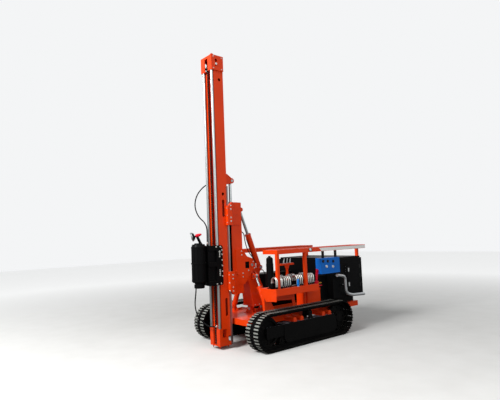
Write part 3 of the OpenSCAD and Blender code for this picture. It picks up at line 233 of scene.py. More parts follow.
# the track frames' black, with a painted reflection: pale grey where a face looks up
frameEnamel = sprayedEnamel("frameEnamel", "050505", "0A0A0A", chip="2C2926", dustAndSheen="8C909A", dustAndSheenShare=2.4,
                            rough=0.45, coat=0.0, gloss=0.06, peelMm=9, peel=0.2)
# the control box's clear blue, and black painted shade on its hangers above the box, where they hang behind
# the frame
blueEnamel = boxEnamel("blueEnamel", "0A6CD0", "0664BE", paintedHangerShade="070708", boxTop=1.376)
# the upper frame's stripe, the palest paint on the machine
whiteEnamel = sprayedEnamel("whiteEnamel", "FBFBF9", "F2F2EF", chip="C8C4BC", dustAndSheenShare=0.1)
# the small lever's light blue
azureEnamel = sprayedEnamel("azureEnamel", "0A8CF4", "0A7EE0", chip="16283C", dustAndSheenShare=0.1)
# bar tops scraped and caked with dry soil: pale and dull, with none of metal's shine
scuffedTread = moulded("scuffedTread", "A3A69F", "62625D", 0.55, 7, 0.6, gloss=0.3)
# cast and turned brass: a warm yellow shine
brass = bareMetal("brass", "D8A84E", "B98A38", 0.3, 0.2, 10)
# pins and rollers rubbed bare: an uneven grey shine
wornSteel = bareMetal("wornSteel", "8E8A84", "6A665F", 0.38, 0.3, 12, depth=0.25)
# ground and chromed rods and tubes: marks drawn out along them, clear reflections
hardChrome = bareMetal("hardChrome", "B2B8B8", "929A9A", 0.24, 0.14, 40, (1, 1, 0.1), depth=0.02)
# lathe-turned steel of pins and ferrules: pale, softly bright
turnedSteel = bareMetal("turnedSteel", "B5B6B6", "8F9192", 0.28, 0.2, 10)
# bright zinc on bolts, elbows and hose ends: small white sparks all over the machine
zincPlate = bareMetal("zincPlate", "E2E2DE", "BDBDB6", 0.22, 0.18, 6)
# chain plates under old oil: brown black with wet edges
oiledChain = bareMetal("oiledChain", "4A3A34", "2A211E", 0.35, 0.3, 12, depth=0.2)
# the engine's sand-cast iron: rough and dark
castIron = bareMetal("castIron", "4A4C4E", "34363A", 0.6, 0.2, 8, depth=0.4)
# the exhaust's drawn steel tube: smooth and milky
pipeSteel = bareMetal("pipeSteel", "C4C6C8", "9FA1A3", 0.24, 0.25, 30)
# hose rubber: near black, dull, with a cloth-like skin
rubberCover = moulded("rubberCover", "070708", "0E0E0F", 0.6, 2, 0.2, gloss=0.08)
# moulded lamp cases, knobs and hinges: black with a soft highlight
blackPlastic = moulded("blackPlastic", "0A0A0B", "101011", 0.35, 3, 0.1, gloss=0.2, coat=0.05)
# printed dial sheet, off white, and the marks on it
dialWhite = moulded("dialWhite", "ECEBE4", "DEDDD4", 0.4, 20, 0.02)
dialMark = moulded("dialMark", "151515", "1C1C1C", 0.5, 20, 0.02)
# ribbed lens glass: small glints over a pale blue grey
clearLens = lampLens("clearLens", "D5DCE2", 12)
print("materials made")

# finishes of the CAD nodes, by the record's slots, and of the few nodes that have their own
slotFinish = {
    "red_paint": redEnamel, "black_paint": blackEnamel, "blue_paint": blueEnamel,
    "crimson_paint": crimsonEnamel, "track_steel": trackEnamel, "chrome_rod": hardChrome,
    "pin_steel": turnedSteel, "chain_steel": oiledChain, "cast_engine": castIron, "pipe_steel": pipeSteel,
    "rubber_hose": rubberCover, "gauge_case": zincPlate, "lamp_glass": clearLens,
}
ownFinish = {
    "track_frames": frameEnamel, "idlers": trackEnamel, "sprockets": trackEnamel,
    "track_rollers": trackEnamel,
}
for row in frame["record"]["subparts"]:
    node = frame["nodes"].get(row["node"])
    if node is None:
        continue
    finish = ownFinish.get(row["node"], slotFinish[row["material_slot"]])
    for slot in node.material_slots:
        slot.material = finish


# places and modelling helpers
middleMm = 1161.0   # the frame's zero lies this far behind the front of the tracks
right, ahead, up = (1, 0, 0), (0, -1, 0), (0, 0, 1)


def mm(*values):
    # millimetres in Blender's metres
    return Vector([v / 1000 for v in values])


def at(x, y, z):
    # beside the middle, behind the tracks' front and above the ground
    return mm(x, y - middleMm, z)


def deselect():
    if bpy.context.object and bpy.context.object.mode != "OBJECT":
        bpy.ops.object.mode_set(mode="OBJECT")
    bpy.ops.object.select_all(action="DESELECT")


def pick(piece):
    deselect()
    piece.select_set(True)
    bpy.context.view_layer.objects.active = piece


def editAll():
    bpy.ops.object.mode_set(mode="EDIT")
    bpy.ops.mesh.select_all(action="SELECT")


def editNothing(kind):
    bpy.ops.object.mode_set(mode="EDIT")
    bpy.ops.mesh.select_mode(type=kind)
    bpy.ops.mesh.select_all(action="DESELECT")
    return bmesh.from_edit_mesh(bpy.context.object.data)


def editFaces(test):
    # goes into edit mode with the faces whose middle and normal pass the test
    for f in editNothing("FACE").faces:
        f.select_set(test(f.calc_center_median(), f.normal))
    bmesh.update_edit_mesh(bpy.context.object.data)


def editEdges(test):
    # the same for edges, by their two ends
    for e in editNothing("EDGE").edges:
        e.select_set(test(e.verts[0].co, e.verts[1].co))
    bmesh.update_edit_mesh(bpy.context.object.data)


def bevelEdges(test, wide):
    editEdges(test)
    bpy.ops.mesh.bevel(offset=wide / 1000, segments=1)
    leaveEdit()


def extrude(x, y, z):
    bpy.ops.mesh.extrude_region_move(TRANSFORM_OT_translate={"value": tuple(mm(x, y, z))})


def leaveEdit():
    bpy.ops.object.mode_set(mode="OBJECT")
    return bpy.context.object


def leaveOutwards():
    # leaves edit mode with every face turned outwards
    bpy.ops.mesh.select_all(action="SELECT")
    bpy.ops.mesh.normals_make_consistent(inside=False)
    return leaveEdit()


def paint(piece, *finishes):
    piece.data.materials.clear()
    for f in finishes:
        piece.data.materials.append(f)
    return piece


def block(size, finish, place=(0, 0, 0), edge=0, steps=1):
    # a bar or plate by its size and bevelled edges in millimetres, at a place in metres
    deselect()
    bpy.ops.mesh.primitive_cube_add(size=1, location=place)
    piece = bpy.context.object
    piece.scale = mm(*size)
    bpy.ops.object.transform_apply(location=False, rotation=False, scale=True)
    if edge:
        editAll()
        bpy.ops.mesh.bevel(offset=edge / 1000, segments=steps)
        leaveEdit()
    return paint(piece, finish)


def turned(profile, sides, finish):
    # a turned piece on its own Z axis: a disc, extruded and resized up its profile of (radius, height)
    deselect()
    radius, height = profile[0]
    bpy.ops.mesh.primitive_circle_add(vertices=sides, radius=radius / 1000, fill_type="NGON",
                                      location=mm(0, 0, height))
    bpy.ops.object.transform_apply(location=True, rotation=False, scale=False)
    editAll()
    for nextRadius, nextHeight in profile[1:]:
        extrude(0, 0, nextHeight - height)
        if nextRadius != radius:
            bpy.ops.transform.resize(value=(nextRadius / radius, nextRadius / radius, 1))
        radius, height = nextRadius, nextHeight
    return paint(leaveOutwards(), finish)


def aimed(piece, place, direction=(0, 0, 1), roll=0.0, size=1.0):
    # sets a piece down with its Z axis along a direction; straight up, that is half a turn about Z
    turn = Vector(direction).to_track_quat("Z", "Y").to_matrix().to_4x4()
    piece.matrix_world = (Matrix.Translation(place) @ turn @ Matrix.Rotation(roll, 4, "Z")
                          @ Matrix.Scale(size, 4))
    return piece


def twin(piece):
    other = piece.copy()
    other.data = piece.data.copy()
    scene.collection.objects.link(other)
    return other


def settled(piece):
    # its place, turn and size go into its mesh
    pick(piece)
    bpy.ops.object.transform_apply(location=True, rotation=True, scale=True)
    return piece


def joined(*pieces):
    pick(pieces[0])
    for p in pieces[1:]:
        p.select_set(True)
    if len(pieces) > 1:
        bpy.ops.object.join()
    return settled(pieces[0])


def finished(piece, name, body, smooth=35, stands=()):
    # body: what it rides on, or None where it is blended; stands: the CAD nodes that it replaces
    settled(piece)
    if smooth:
        bpy.ops.object.shade_smooth_by_angle(angle=math.radians(smooth))
    piece.name = name
    if body:
        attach(piece, body)
    if stands:
        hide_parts(*stands)
    return piece


def scattered(unit, places):
    # one copy of the unit for each (place, direction, roll, size), joined; the unit itself goes
    copies = [aimed(twin(unit), *p) for p in places]
    bpy.data.objects.remove(unit)
    return joined(*copies)


# hoses: rubber hose with crimped steel ends; bodies are what its start and its end ride on
driveHose = {
    "radius": 10, "bodies": ("mast", "head"), "stands": ("head_hose",),
    "route": [
        (-170.3, -40, 2730), (-200, -40, 2730), (-235, -50, 2726), (-270, -64, 2714), (-302, -84, 2694),
        (-330, -108, 2664), (-354, -134, 2626), (-374, -160, 2582), (-388, -182, 2534), (-396, -200, 2482),
        (-396, -213, 2430), (-388, -223, 2378), (-372, -229, 2328), (-350, -232, 2280), (-322, -232, 2234),
        (-290, -230, 2192), (-255, -226, 2156), (-218, -220, 2124), (-180, -212, 2096), (-146, -204, 2064),
        (-118, -198, 2024), (-100, -194, 1978), (-93, -193, 1930), (-92, -193, 1880), (-92, -194, 1830),
        (-92, -195, 1780), (-92, -195, 1740), (-92, -195, 1700.3)],
}
footHose = {
    "radius": 10, "bodies": ("head", "mast"), "stands": ("foot_hose",),
    "route": [
        (-105, -432, 1047.7), (-105, -432, 1005), (-110, -432, 960), (-118, -432, 912), (-130, -431, 864),
        (-143, -429, 816), (-156, -425, 768), (-167, -418, 720), (-175, -408, 672), (-181, -394, 624),
        (-185, -376, 578), (-186, -354, 536), (-184, -330, 498), (-178, -304, 466), (-167, -280, 440),
        (-150, -264, 418), (-126, -256, 402), (-98, -253, 391), (-72, -250, 385), (-46, -247, 381),
        (-20, -246, 378), (6, -242, 377), (29, -230, 376), (47, -212, 375), (60, -188, 375),
        (64, -172, 375), (64, -161.3, 375)],
}
columnHose = {
    "radius": 8, "bodies": ("column", "column"), "stands": ("column_hose",),
    "route": [
        (108.3, 800, 1215), (120, 800, 1214.5), (138, 801, 1209), (155, 804, 1196), (168, 809, 1178),
        (178, 815, 1152), (183, 821, 1120), (184, 827, 1078), (183, 828, 1030), (181, 822, 975),
        (178, 808, 920), (175, 791, 865), (172, 775, 810), (170, 763, 760), (170, 758, 710),
        (170, 756, 675), (170, 756, 640.3)],
}
boomHose = {
    "radius": 8, "bodies": ("carriage", "carriage"), "stands": (),
    "route": [
        (100, 363.3, 1890), (100, 376, 1890), (100, 399, 1885), (101, 418, 1872), (102, 431, 1853),
        (104, 437, 1828), (107, 440, 1795), (113, 442, 1750), (124, 445, 1697), (138, 450, 1645),
        (150, 458, 1598), (160, 474, 1554), (167, 498, 1512), (170, 528, 1474), (171, 560, 1442),
        (171, 588, 1410), (171, 608, 1376), (171, 618, 1342), (171, 620, 1318), (171, 620, 1300.3)],
}


def smoothRoute(points, steps=3):
    # a curve through every point
    out = []
    for i in range(len(points) - 1):
        a, b, c, d = points[max(i - 1, 0)], points[i], points[i + 1], points[min(i + 2, len(points) - 1)]
        for k in range(steps):
            t = k / steps
            out.append(0.5 * (2 * b + (c - a) * t + (2 * a - 5 * b + 4 * c - d) * t ** 2
                              + (3 * b - a - 3 * c + d) * t ** 3))
    return out + [points[-1]]


def sweptHose(hose, name):
    route = smoothRoute([at(*p) for p in hose["route"]])
    line = bpy.data.curves.new(name, "CURVE")
    line.dimensions = "3D"
    line.bevel_depth = hose["radius"] / 1000
    line.bevel_resolution = 3
    line.use_fill_caps = True
    spline = line.splines.new("POLY")
    spline.points.add(len(route) - 1)
    for point, place in zip(spline.points, route):
        point.co = (*place, 1)
    piece = bpy.data.objects.new(name, line)
    scene.collection.objects.link(piece)
    pick(piece)
    bpy.ops.object.convert(target="MESH")
    return paint(bpy.context.object, rubberCover), route


def crimpedEnd(place, direction, radius):
    # a ribbed sleeve over the hose's end, with its hexagon towards the port
    r = radius + 2
    sleeve = turned([(r + 1, 0), (r + 1, 8), (r, 9), (r, 12), (r + 1, 13), (r + 1, 19), (r, 20), (r, 23),
                     (r + 1, 24), (r + 1, 34), (r - 1, 38)], 20, zincPlate)
    nut = turned([(r + 4, -3), (r + 5, -1), (r + 5, 9), (r + 3, 11)], 6, zincPlate)
    return aimed(joined(sleeve, nut), place, direction)


def makeHose(hose, name):
    piece, route = sweptHose(hose, name)
    startBody, endBody = hose["bodies"]
    for label, tip, inner, body in (("Start", route[0], route[2], startBody),
                                    ("End", route[-1], route[-3], endBody)):
        end = crimpedEnd(tip, inner - tip, hose["radius"])
        finished(end, name + label, body)
    held = startBody == endBody
    finished(piece, name, startBody if held else None, stands=hose["stands"])
    if not held:
        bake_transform(piece)


makeHose(driveHose, "driveHose")
makeHose(footHose, "footHose")
makeHose(columnHose, "columnHose")
makeHose(boomHose, "boomHose")

# the small bracket beside the tilt pin, with the union that the boom hose screws on to
hoseBracket = {"place": (170, 620, 1294), "size": (30, 30, 12), "unionPlace": (171, 620, 1290)}


def makeHoseBracket(bracket):
    plate = block(bracket["size"], redEnamel, at(*bracket["place"]), 2)
    union = turned([(11, 6), (12, 5), (12, -12), (9, -14), (9, -24)], 6, zincPlate)
    aimed(union, at(*bracket["unionPlace"]))
    finished(joined(plate, union), "hoseBracket", "carriage")


makeHoseBracket(hoseBracket)

# tracks: one shoe with its two links, copied round the loop
trackShape = {
    "run": 1700, "radius": 282, "firstAxle": 300, "axleHeight": 300, "centre": 732.5,
    "count": 51, "shoeWidth": 300, "shoeThick": 10, "gap": 4,
    "bars": (-26, 26), "barBase": 30, "barTip": 24, "barTaper": 0.985, "barHeight": 15.5,
    "padInner": 46, "middleHeight": 8,   # the bars step down to this between the pads
    "railMiddle": 41, "railThick": 20, "linkDepth": 58, "linkShare": 0.94, "pinDepth": 36, "boltSpread": 12,
}


def makeShoe(track):
    # its Y runs along the loop and its Z outwards
    pitch = (2 * track["run"] + 2 * math.pi * track["radius"]) / track["count"]
    thick = track["shoeThick"]
    plate = block((track["shoeWidth"], pitch - track["gap"], thick), trackEnamel, mm(0, 0, -thick / 2))
    bpy.ops.object.transform_apply(location=True, rotation=False, scale=False)
    for y in track["bars"]:
        for side in (-1, 1):   # cuts beside each bar
            editAll()
            bpy.ops.mesh.bisect(plane_co=mm(0, y + side * track["barBase"] / 2, 0), plane_no=(0, 1, 0))
    for side in (-1, 1):   # and where each bar steps down
        editAll()
        bpy.ops.mesh.bisect(plane_co=mm(side * track["padInner"], 0, 0), plane_no=(1, 0, 0))
    for y in track["bars"]:
        for outer, high in ((True, track["barHeight"]), (False, track["middleHeight"])):
            editFaces(lambda c, n: n.z > 0.9 and abs(c.z) < 0.001 and abs(c.y - y / 1000) < 0.002
                      and (abs(c.x) > track["padInner"] / 1000) == outer)
            extrude(0, 0, high)
            bpy.ops.transform.resize(value=(track["barTaper"], track["barTip"] / track["barBase"], 1))
    bevelEdges(lambda a, b: a.z < -0.001 and b.z < -0.001 and abs(a.y) > 0.04 and abs(b.y) > 0.04, 4)
    paint(plate, trackEnamel, scuffedTread)
    for f in plate.data.polygons:   # the bars' tops are scuffed
        f.material_index = 1 if f.center.z > (track["barHeight"] - 1) / 1000 else 0
    parts = [plate]
    for side in (-1, 1):
        rail = side * track["railMiddle"]
        link = block((track["railThick"], pitch * track["linkShare"], track["linkDepth"] - thick),
                     trackEnamel, mm(rail, 0, -(track["linkDepth"] + thick) / 2))
        bevelEdges(lambda a, b: a.z < 0 and b.z < 0 and abs(a.x - b.x) > 0.01, 14)
        boss = turned([(17, -13), (19, -11), (19, 11), (17, 13)], 10, trackEnamel)
        parts += [link, aimed(boss, mm(rail, pitch / 2, -track["pinDepth"]), right)]
        for end in (-1, 1):
            bolt = turned([(9, 0), (9, 5), (7.5, 6.5)], 6, trackEnamel)
            parts.append(aimed(bolt, mm(rail / 2, end * track["boltSpread"], 0)))
    bushing = turned([(14, -31), (14, 31)], 10, wornSteel)
    parts.append(aimed(bushing, mm(0, pitch / 2, -track["pinDepth"]), right))
    return joined(*parts), pitch


def loopPlace(track, along):
    # place and outward direction at a length along the loop, from the ground run's front
    run, r, first, axle = track["run"], track["radius"], track["firstAxle"], track["axleHeight"]
    arc = math.pi * r
    if along < run:
        return first + along, axle - r, (0, -1)
    if along < run + arc:
        a = (along - run) / r
        return first + run + r * math.sin(a), axle - r * math.cos(a), (math.sin(a), -math.cos(a))
    if along < 2 * run + arc:
        return first + run - (along - run - arc), axle + r, (0, 1)
    a = (along - 2 * run - arc) / r
    return first - r * math.sin(a), axle + r * math.cos(a), (-math.sin(a), math.cos(a))


def makeTracks(track):
    shoe, pitch = makeShoe(track)
    for side, node in ((1, "left_track"), (-1, "right_track")):
        copies = []
        for i in range(track["count"]):
            y, z, (outY, outZ) = loopPlace(track, (i + 0.5) * pitch)
            copy = twin(shoe)
            copy.matrix_world = Matrix.Translation(at(side * track["centre"], y, z)) @ Matrix(
                ((1, 0, 0, 0), (0, outZ, outY, 0), (0, -outY, outZ, 0), (0, 0, 0, 1)))
            copies.append(copy)
        finished(joined(*copies), "shoes_" + node, "chassis", smooth=30, stands=(node,))
    bpy.data.objects.remove(shoe)


makeTracks(trackShape)
print("tracks made")

# drive chain in the mast: rollers, pins and two rows of plates, with its toothed wheel in the cap
chainShape = {
    "low": 76, "high": 4736, "front": -148, "deep": 14, "half": 16, "pitch": 38,
    "firstPin": 12, "slack": 0.2, "plateThick": 3, "plateReach": 0.8, "outerInset": 1.5, "innerInset": 5,
    "rollerRadius": 6, "rollerInset": 7, "pinRadius": 3.5,
    "wheelAt": (-73.7, 4740), "wheelRadius": 56, "wheelHalf": 7, "toothMetres": 0.007, "teeth": 20,
    "hubRadius": 26, "hubHalf": 12, "axleRadius": 14, "axleHalf": 166, "nutX": 157,
}


def makeStrand(chain):
    # two pitches with an outer and an inner pair of plates, copied up the mast
    count = round((chain["high"] - chain["low"]) / (2 * chain["pitch"]))
    step = (chain["high"] - chain["low"]) / count
    half, deep = chain["half"], chain["deep"]
    parts = []
    for k, plateX in enumerate((half - chain["outerInset"], half - chain["innerInset"])):
        for side in (-1, 1):
            plate = block((chain["plateThick"], deep, step / 2 + deep * chain["plateReach"]), oiledChain)
            bevelEdges(lambda a, b: abs(a.x - b.x) > 0.001, 4)
            plate.location = mm(side * plateX, 0, (k + 0.5) * step / 2)
            parts.append(plate)
    for k in (0, 1):
        for radius, reach, sides in ((chain["rollerRadius"], half - chain["rollerInset"], 10),
                                     (chain["pinRadius"], half, 8)):
            pin = turned([(radius, -reach), (radius, reach)], sides, wornSteel)
            parts.append(aimed(pin, mm(0, 0, k * step / 2), right))
    y, z = chain["front"] + deep / 2, chain["low"] + chain["firstPin"]
    return scattered(joined(*parts), [(at(0, y, z + i * (step - chain["slack"])),) for i in range(count)])


def makeChain(chain):
    strand = makeStrand(chain)
    r, half = chain["wheelRadius"], chain["wheelHalf"]
    wheel = turned([(r, -half), (r, half)], 2 * chain["teeth"], wornSteel)
    every = math.pi / chain["teeth"]
    editFaces(lambda c, n: abs(n.z) < 0.1 and round((math.atan2(c.y, c.x) - every / 2) / every) % 2 == 0)
    bpy.ops.mesh.extrude_faces_move(TRANSFORM_OT_shrink_fatten={"value": chain["toothMetres"]})
    leaveEdit()
    r, half = chain["hubRadius"], chain["hubHalf"]
    hub = turned([(r, -half), (r, half)], 20, wornSteel)
    r, half = chain["axleRadius"], chain["axleHalf"]
    axle = turned([(r - 1, -half), (r, -half + 2), (r, half - 2), (r - 1, half)], 20, wornSteel)
    parts = [strand] + [aimed(p, at(0, *chain["wheelAt"]), right) for p in (wheel, hub, axle)]
    for side in (-1, 1):
        nut = turned([(24, 0), (24, 2), (19, 2.5), (19, 8), (17, 9.5)], 6, zincPlate)
        parts.append(aimed(nut, at(side * chain["nutX"], *chain["wheelAt"]), (side, 0, 0)))
    finished(joined(*parts), "driveChain", "mast", stands=("mast_chain",))


makeChain(chainShape)
print("chain made")

# bolts: a hexagon head on a washer, copied to each place
boltShape = {
    "washer": 13, "washerThick": 2.2, "head": 10.5, "headHeight": 8, "crown": 0.86, "crownHeight": 1.2,
    "roll": 0.4, "rollStep": 0.9,   # radians, so that no two heads in a row stand alike
}
boltRow = {"facing": right, "bothSides": True, "size": 1.0, "finish": zincPlate}   # where a row says no other
boltRows = {
    "headBolts": {
        "body": "head",
        "spots": [(153, -128, z) for z in (1580, 1552, 1524, 1496, 1280, 1252, 1224, 1196)]
        + [(153, -80, z) for z in (1600, 1530, 1440, 1350, 1260, 1180)]
        + [(153, y, z) for z in (1655, 1062) for y in (-190, -110)],
    },
    "clampBolts": {
        "body": "carriage", "size": 1.1,
        "spots": [(205, 93, z) for z in (2070, 2130, 2270, 2330, 925, 985, 1125, 1185)],
    },
    "boomBolts": {
        "body": "carriage",
        "spots": [(155, 330, 1560), (155, 330, 1500), (155, 345, 1190), (155, 345, 1130), (155, 470, 1230),
                  (155, 600, 1260), (155, 580, 1372)],
    },
    "flangeBolts": {
        "body": "column", "facing": up, "bothSides": False, "size": 1.1,
        "spots": [(x, y, 632) for x in (-132, 132) for y in (600, 690, 810, 900)],
    },
    "tableBolts": {
        "body": "chassis", "facing": ahead, "bothSides": False, "size": 0.8, "finish": redEnamel,
        "spots": [(520, 432, 905), (830, 432, 910), (830, 432, 790), (650, 432, 775)],
    },
    "clampFrontBolts": {
        "body": "carriage", "facing": ahead, "size": 0.9,
        "spots": [(186, 30, z) for z in (2285, 2165, 2045, 1190, 1060, 930)],
    },
    "capBolts": {
        "body": "mast", "size": 0.8, "spots": [(156, y, z) for z in (4660, 4860) for y in (-130, 40)],
    },
}


def makeBolt(bolt, finish):
    r, thick, top = bolt["head"], bolt["washerThick"], bolt["headHeight"]
    washer = turned([(bolt["washer"], 0), (bolt["washer"], thick)], 14, finish)
    head = turned([(r, thick), (r, top), (r * bolt["crown"], top + bolt["crownHeight"])], 6, finish)
    return joined(washer, head)


def makeBoltRow(row, name, bolt):
    x, y, z = row["facing"]
    heads = [(at(*spot), (x, y, z)) for spot in row["spots"]]
    if row["bothSides"]:
        heads += [(at(-spot[0], *spot[1:]), (-x, y, z)) for spot in row["spots"]]
    places = [(*head, bolt["roll"] + i * bolt["rollStep"], row["size"]) for i, head in enumerate(heads)]
    finished(scattered(makeBolt(bolt, row["finish"]), places), name, row["body"], smooth=30)


for rowName, row in boltRows.items():
    makeBoltRow({**boltRow, **row}, rowName, boltShape)
print("bolts made")

# round work lamp on the head: ribbed case, bright rim, lens, its bracket and its plug
workLamp = {
    "place": (-156, -432, 1837), "aim": (-0.5, -0.8, -0.3), "radius": 75, "deep": 60, "bulbApart": 28,
    "barPlace": (-124, -330, 1760), "barSize": (8, 50, 160), "barLean": 28,
    "footPlace": (-118, -296, 1684), "footSize": (50, 70, 8),
    "armPlace": (-136, -385, 1836), "armSize": (30, 90, 30),
    "plugPlace": (-128, -392, 1846), "plugAim": (0.8, 0.45, 0.22),
}


def makeWorkLamp(lamp):
    r, d = lamp["radius"], lamp["deep"] / 2
    centre = at(*lamp["place"])
    aim = Vector(lamp["aim"]).normalized()
    case = turned([(r * 0.45, -d), (r * 0.62, -d + 3), (r * 0.62, -d + 8), (r * 0.8, -d + 9),
                   (r * 0.8, -d + 13), (r * 0.7, -d + 14), (r * 0.7, -d + 19), (r * 0.9, -d + 20),
                   (r * 0.9, -d + 24), (r * 0.8, -d + 25), (r * 0.8, -d + 30), (r * 0.96, -d + 31),
                   (r * 0.96, d - 14), (r * 0.88, d - 13), (r * 0.5, d - 22)], 36, blackPlastic)
    rim = turned([(r * 0.9, d - 27), (r, d - 25), (r, d - 2), (r * 0.95, d), (r * 0.86, d),
                  (r * 0.84, d - 12)], 40, hardChrome)
    lens = turned([(r * 0.85, d - 12), (r * 0.85, d - 7), (r * 0.6, d - 4), (r * 0.3, d - 2.5)], 32,
                  clearLens)
    parts = [aimed(p, centre, aim) for p in (case, rim, lens)]
    for side in (-1, 1):   # the bulbs' dark caps, just proud of the lens
        bulb = turned([(13, d - 5), (12, d - 1), (6, d)], 16, blackPlastic)
        parts.append(aimed(bulb, centre + mm(0, 0, side * lamp["bulbApart"]), aim))
    bar = block(lamp["barSize"], blackEnamel, at(*lamp["barPlace"]), 2)
    bar.rotation_euler = (math.radians(lamp["barLean"]), 0, 0)
    foot = block(lamp["footSize"], blackEnamel, at(*lamp["footPlace"]), 2)
    arm = block(lamp["armSize"], blackEnamel, at(*lamp["armPlace"]), 4)
    plug = turned([(22, 0), (27, 4), (27, 52), (24, 56), (24, 70), (20, 74), (14, 100)], 20, crimsonEnamel)
    parts += [bar, foot, arm, aimed(plug, at(*lamp["plugPlace"]), lamp["plugAim"])]
    finished(joined(*parts), "workLamp", "head", stands=("head_lamp",))


makeWorkLamp(workLamp)

# small round lamp on the upper frame, on its back plate
sideLamp = {
    "place": (850, 1267, 1541), "radius": 26, "backPlace": (853, 1292, 1538), "backSize": (6, 50, 56),
}


def makeSideLamp(lamp):
    r = lamp["radius"]
    base = turned([(r + 4, 0), (r + 4, 5), (r, 7), (r, 12)], 28, blackPlastic)
    ring = turned([(r + 1, 10), (r + 1, 16), (r - 2, 18), (r - 4, 18), (r - 4, 14)], 28, hardChrome)
    lens = turned([(r - 4, 13), (r - 5, 16), (r - 12, 18.5), (r - 20, 19.5)], 24, clearLens)
    parts = [aimed(p, at(*lamp["place"]), right) for p in (base, ring, lens)]
    parts.append(block(lamp["backSize"], blackPlastic, at(*lamp["backPlace"]), 4))
    finished(joined(*parts), "sideLamp", "chassis", stands=("frame_lamp",))


makeSideLamp(sideLamp)
print("lamps made")

# dials on the control box: three dark ones above, two pale gauges below
dialShape = {
    "radius": 26, "deep": 14, "x": 830, "boxStart": 1560, "boxLow": 1100,
    "dark": [(50, 222), (175, 216), (320, 206)], "pale": [(135, 126), (306, 113)],
    "marks": 9, "markRing": 16.5, "markSize": (1.2, 5, 0.6), "firstMark": -120, "markStep": 30,
    "needleSize": (1.4, 15, 0.6), "needleTurn": 0.6, "tickSize": (2, 20, 0.8),
}


def makeDial(dial, pale):
    r, deep = dial["radius"], dial["deep"]
    case = turned([(r, 0), (r, deep - 3), (r - 2, deep), (r - 5, deep), (r - 6, deep - 3)], 32,
                  zincPlate if pale else blackPlastic)
    face = turned([(r - 6, deep - 5), (r - 6, deep - 3.5)], 28, dialWhite if pale else blackPlastic)
    parts = [case, face]
    if pale:
        for i in range(dial["marks"]):   # generic marks round the dial
            a = math.radians(dial["firstMark"] + i * dial["markStep"])
            mark = block(dial["markSize"], dialMark)
            place = mm(dial["markRing"] * math.sin(a), dial["markRing"] * math.cos(a), deep - 3.2)
            mark.matrix_world = Matrix.Translation(place) @ Matrix.Rotation(-a, 4, "Z")
            parts.append(mark)
        needle = block(dial["needleSize"], crimsonEnamel)
        turn = Matrix.Rotation(dial["needleTurn"], 4, "Z")
        needle.matrix_world = Matrix.Translation(mm(-3, 4, deep - 2.8)) @ turn
        parts.append(needle)
    else:
        parts.append(turned([(14, deep - 4), (14, deep + 6), (11, deep + 9)], 12, blackPlastic))
        parts.append(block(dial["tickSize"], zincPlate, mm(0, 1, deep + 9)))
    return joined(*parts)


def makeDials(dial):
    pieces = []
    for pale, spots in ((False, dial["dark"]), (True, dial["pale"])):
        places = [at(dial["x"], dial["boxStart"] + y, dial["boxLow"] + z) for y, z in spots]
        pieces.append(scattered(makeDial(dial, pale), [(p, right, math.pi / 2) for p in places]))
    finished(joined(*pieces), "dials", "chassis", stands=("gauges",))


makeDials(dialShape)

# the upper frame's pale blank stripe, slanted at its front end
stripeShape = {"place": (850.4, 2159.5, 1532), "size": (0.8, 1313, 56), "slant": 60}


def makeStripe(stripe):
    band = block(stripe["size"], whiteEnamel, at(*stripe["place"]))
    editEdges(lambda a, b: a.y < 0 and b.y < 0 and a.z < 0 and b.z < 0)
    bpy.ops.transform.translate(value=mm(0, stripe["slant"], 0))
    leaveEdit()
    finished(band, "frameStripe", "chassis", smooth=0)


makeStripe(stripeShape)
print("dials and stripe made")

# valve banks: elbows over their outer side, zinc strips on their bases, and the port block ahead
bankShape = {
    "ys": (720, 1000, 1280), "x": 670, "top": 1042, "baseTop": 962, "slicePitch": 42, "slices": 5,
    "elbowX": 726, "elbowRadius": 10, "bend": 52, "rise": 36, "drop": 66, "hoseLow": 957,
    "boltX": 84, "boltY": 98, "boltRoll": 0.3, "boltSize": 1.3,
    "stripX": 764, "stripSize": (10, 168, 13),
    "portPlace": (737.5, 527.5, 996.5), "portSize": (63, 165, 91), "portYs": (458, 482, 568, 592),
    "grooveInset": 14, "grooveDepth": 5,
}


def makeElbow(bank):
    # a tube bent over by half a turn, with a nut under its first leg, and a ferrule and hose under the other
    bend, rise, drop = bank["bend"], bank["rise"], bank["drop"]
    deselect()
    bpy.ops.mesh.primitive_circle_add(vertices=12, radius=bank["elbowRadius"] / 1000, fill_type="NGON")
    editAll()
    extrude(0, 0, rise)
    bpy.ops.mesh.spin(steps=10, angle=math.pi, center=mm(bend, 0, rise), axis=(0, -1, 0))
    extrude(0, 0, -drop)
    tube = paint(leaveOutwards(), zincPlate)
    nut = turned([(13, 0), (14, 1), (14, 11), (12, 13)], 6, zincPlate)
    ferrule = turned([(13, 0), (13, 12), (12, 13), (12, 16), (13, 17), (13, 28)], 14, turnedSteel)
    aimed(ferrule, mm(2 * bend, 0, rise - drop + 4), (0, 0, -1))
    stub = turned([(10.5, 20), (10.5, bank["top"] + rise - drop - bank["hoseLow"])], 12, rubberCover)
    aimed(stub, mm(2 * bend, 0, rise - drop), (0, 0, -1))
    return joined(tube, nut, ferrule, stub)


def makePortBlock(bank):
    ports = block(bank["portSize"], blackEnamel, at(*bank["portPlace"]), 3, 2)
    for side in (-1, 1):   # a groove along each long side
        editFaces(lambda c, n: n.x * side > 0.9)
        bpy.ops.mesh.inset(thickness=bank["grooveInset"] / 1000, depth=-bank["grooveDepth"] / 1000)
        leaveEdit()
    return ports


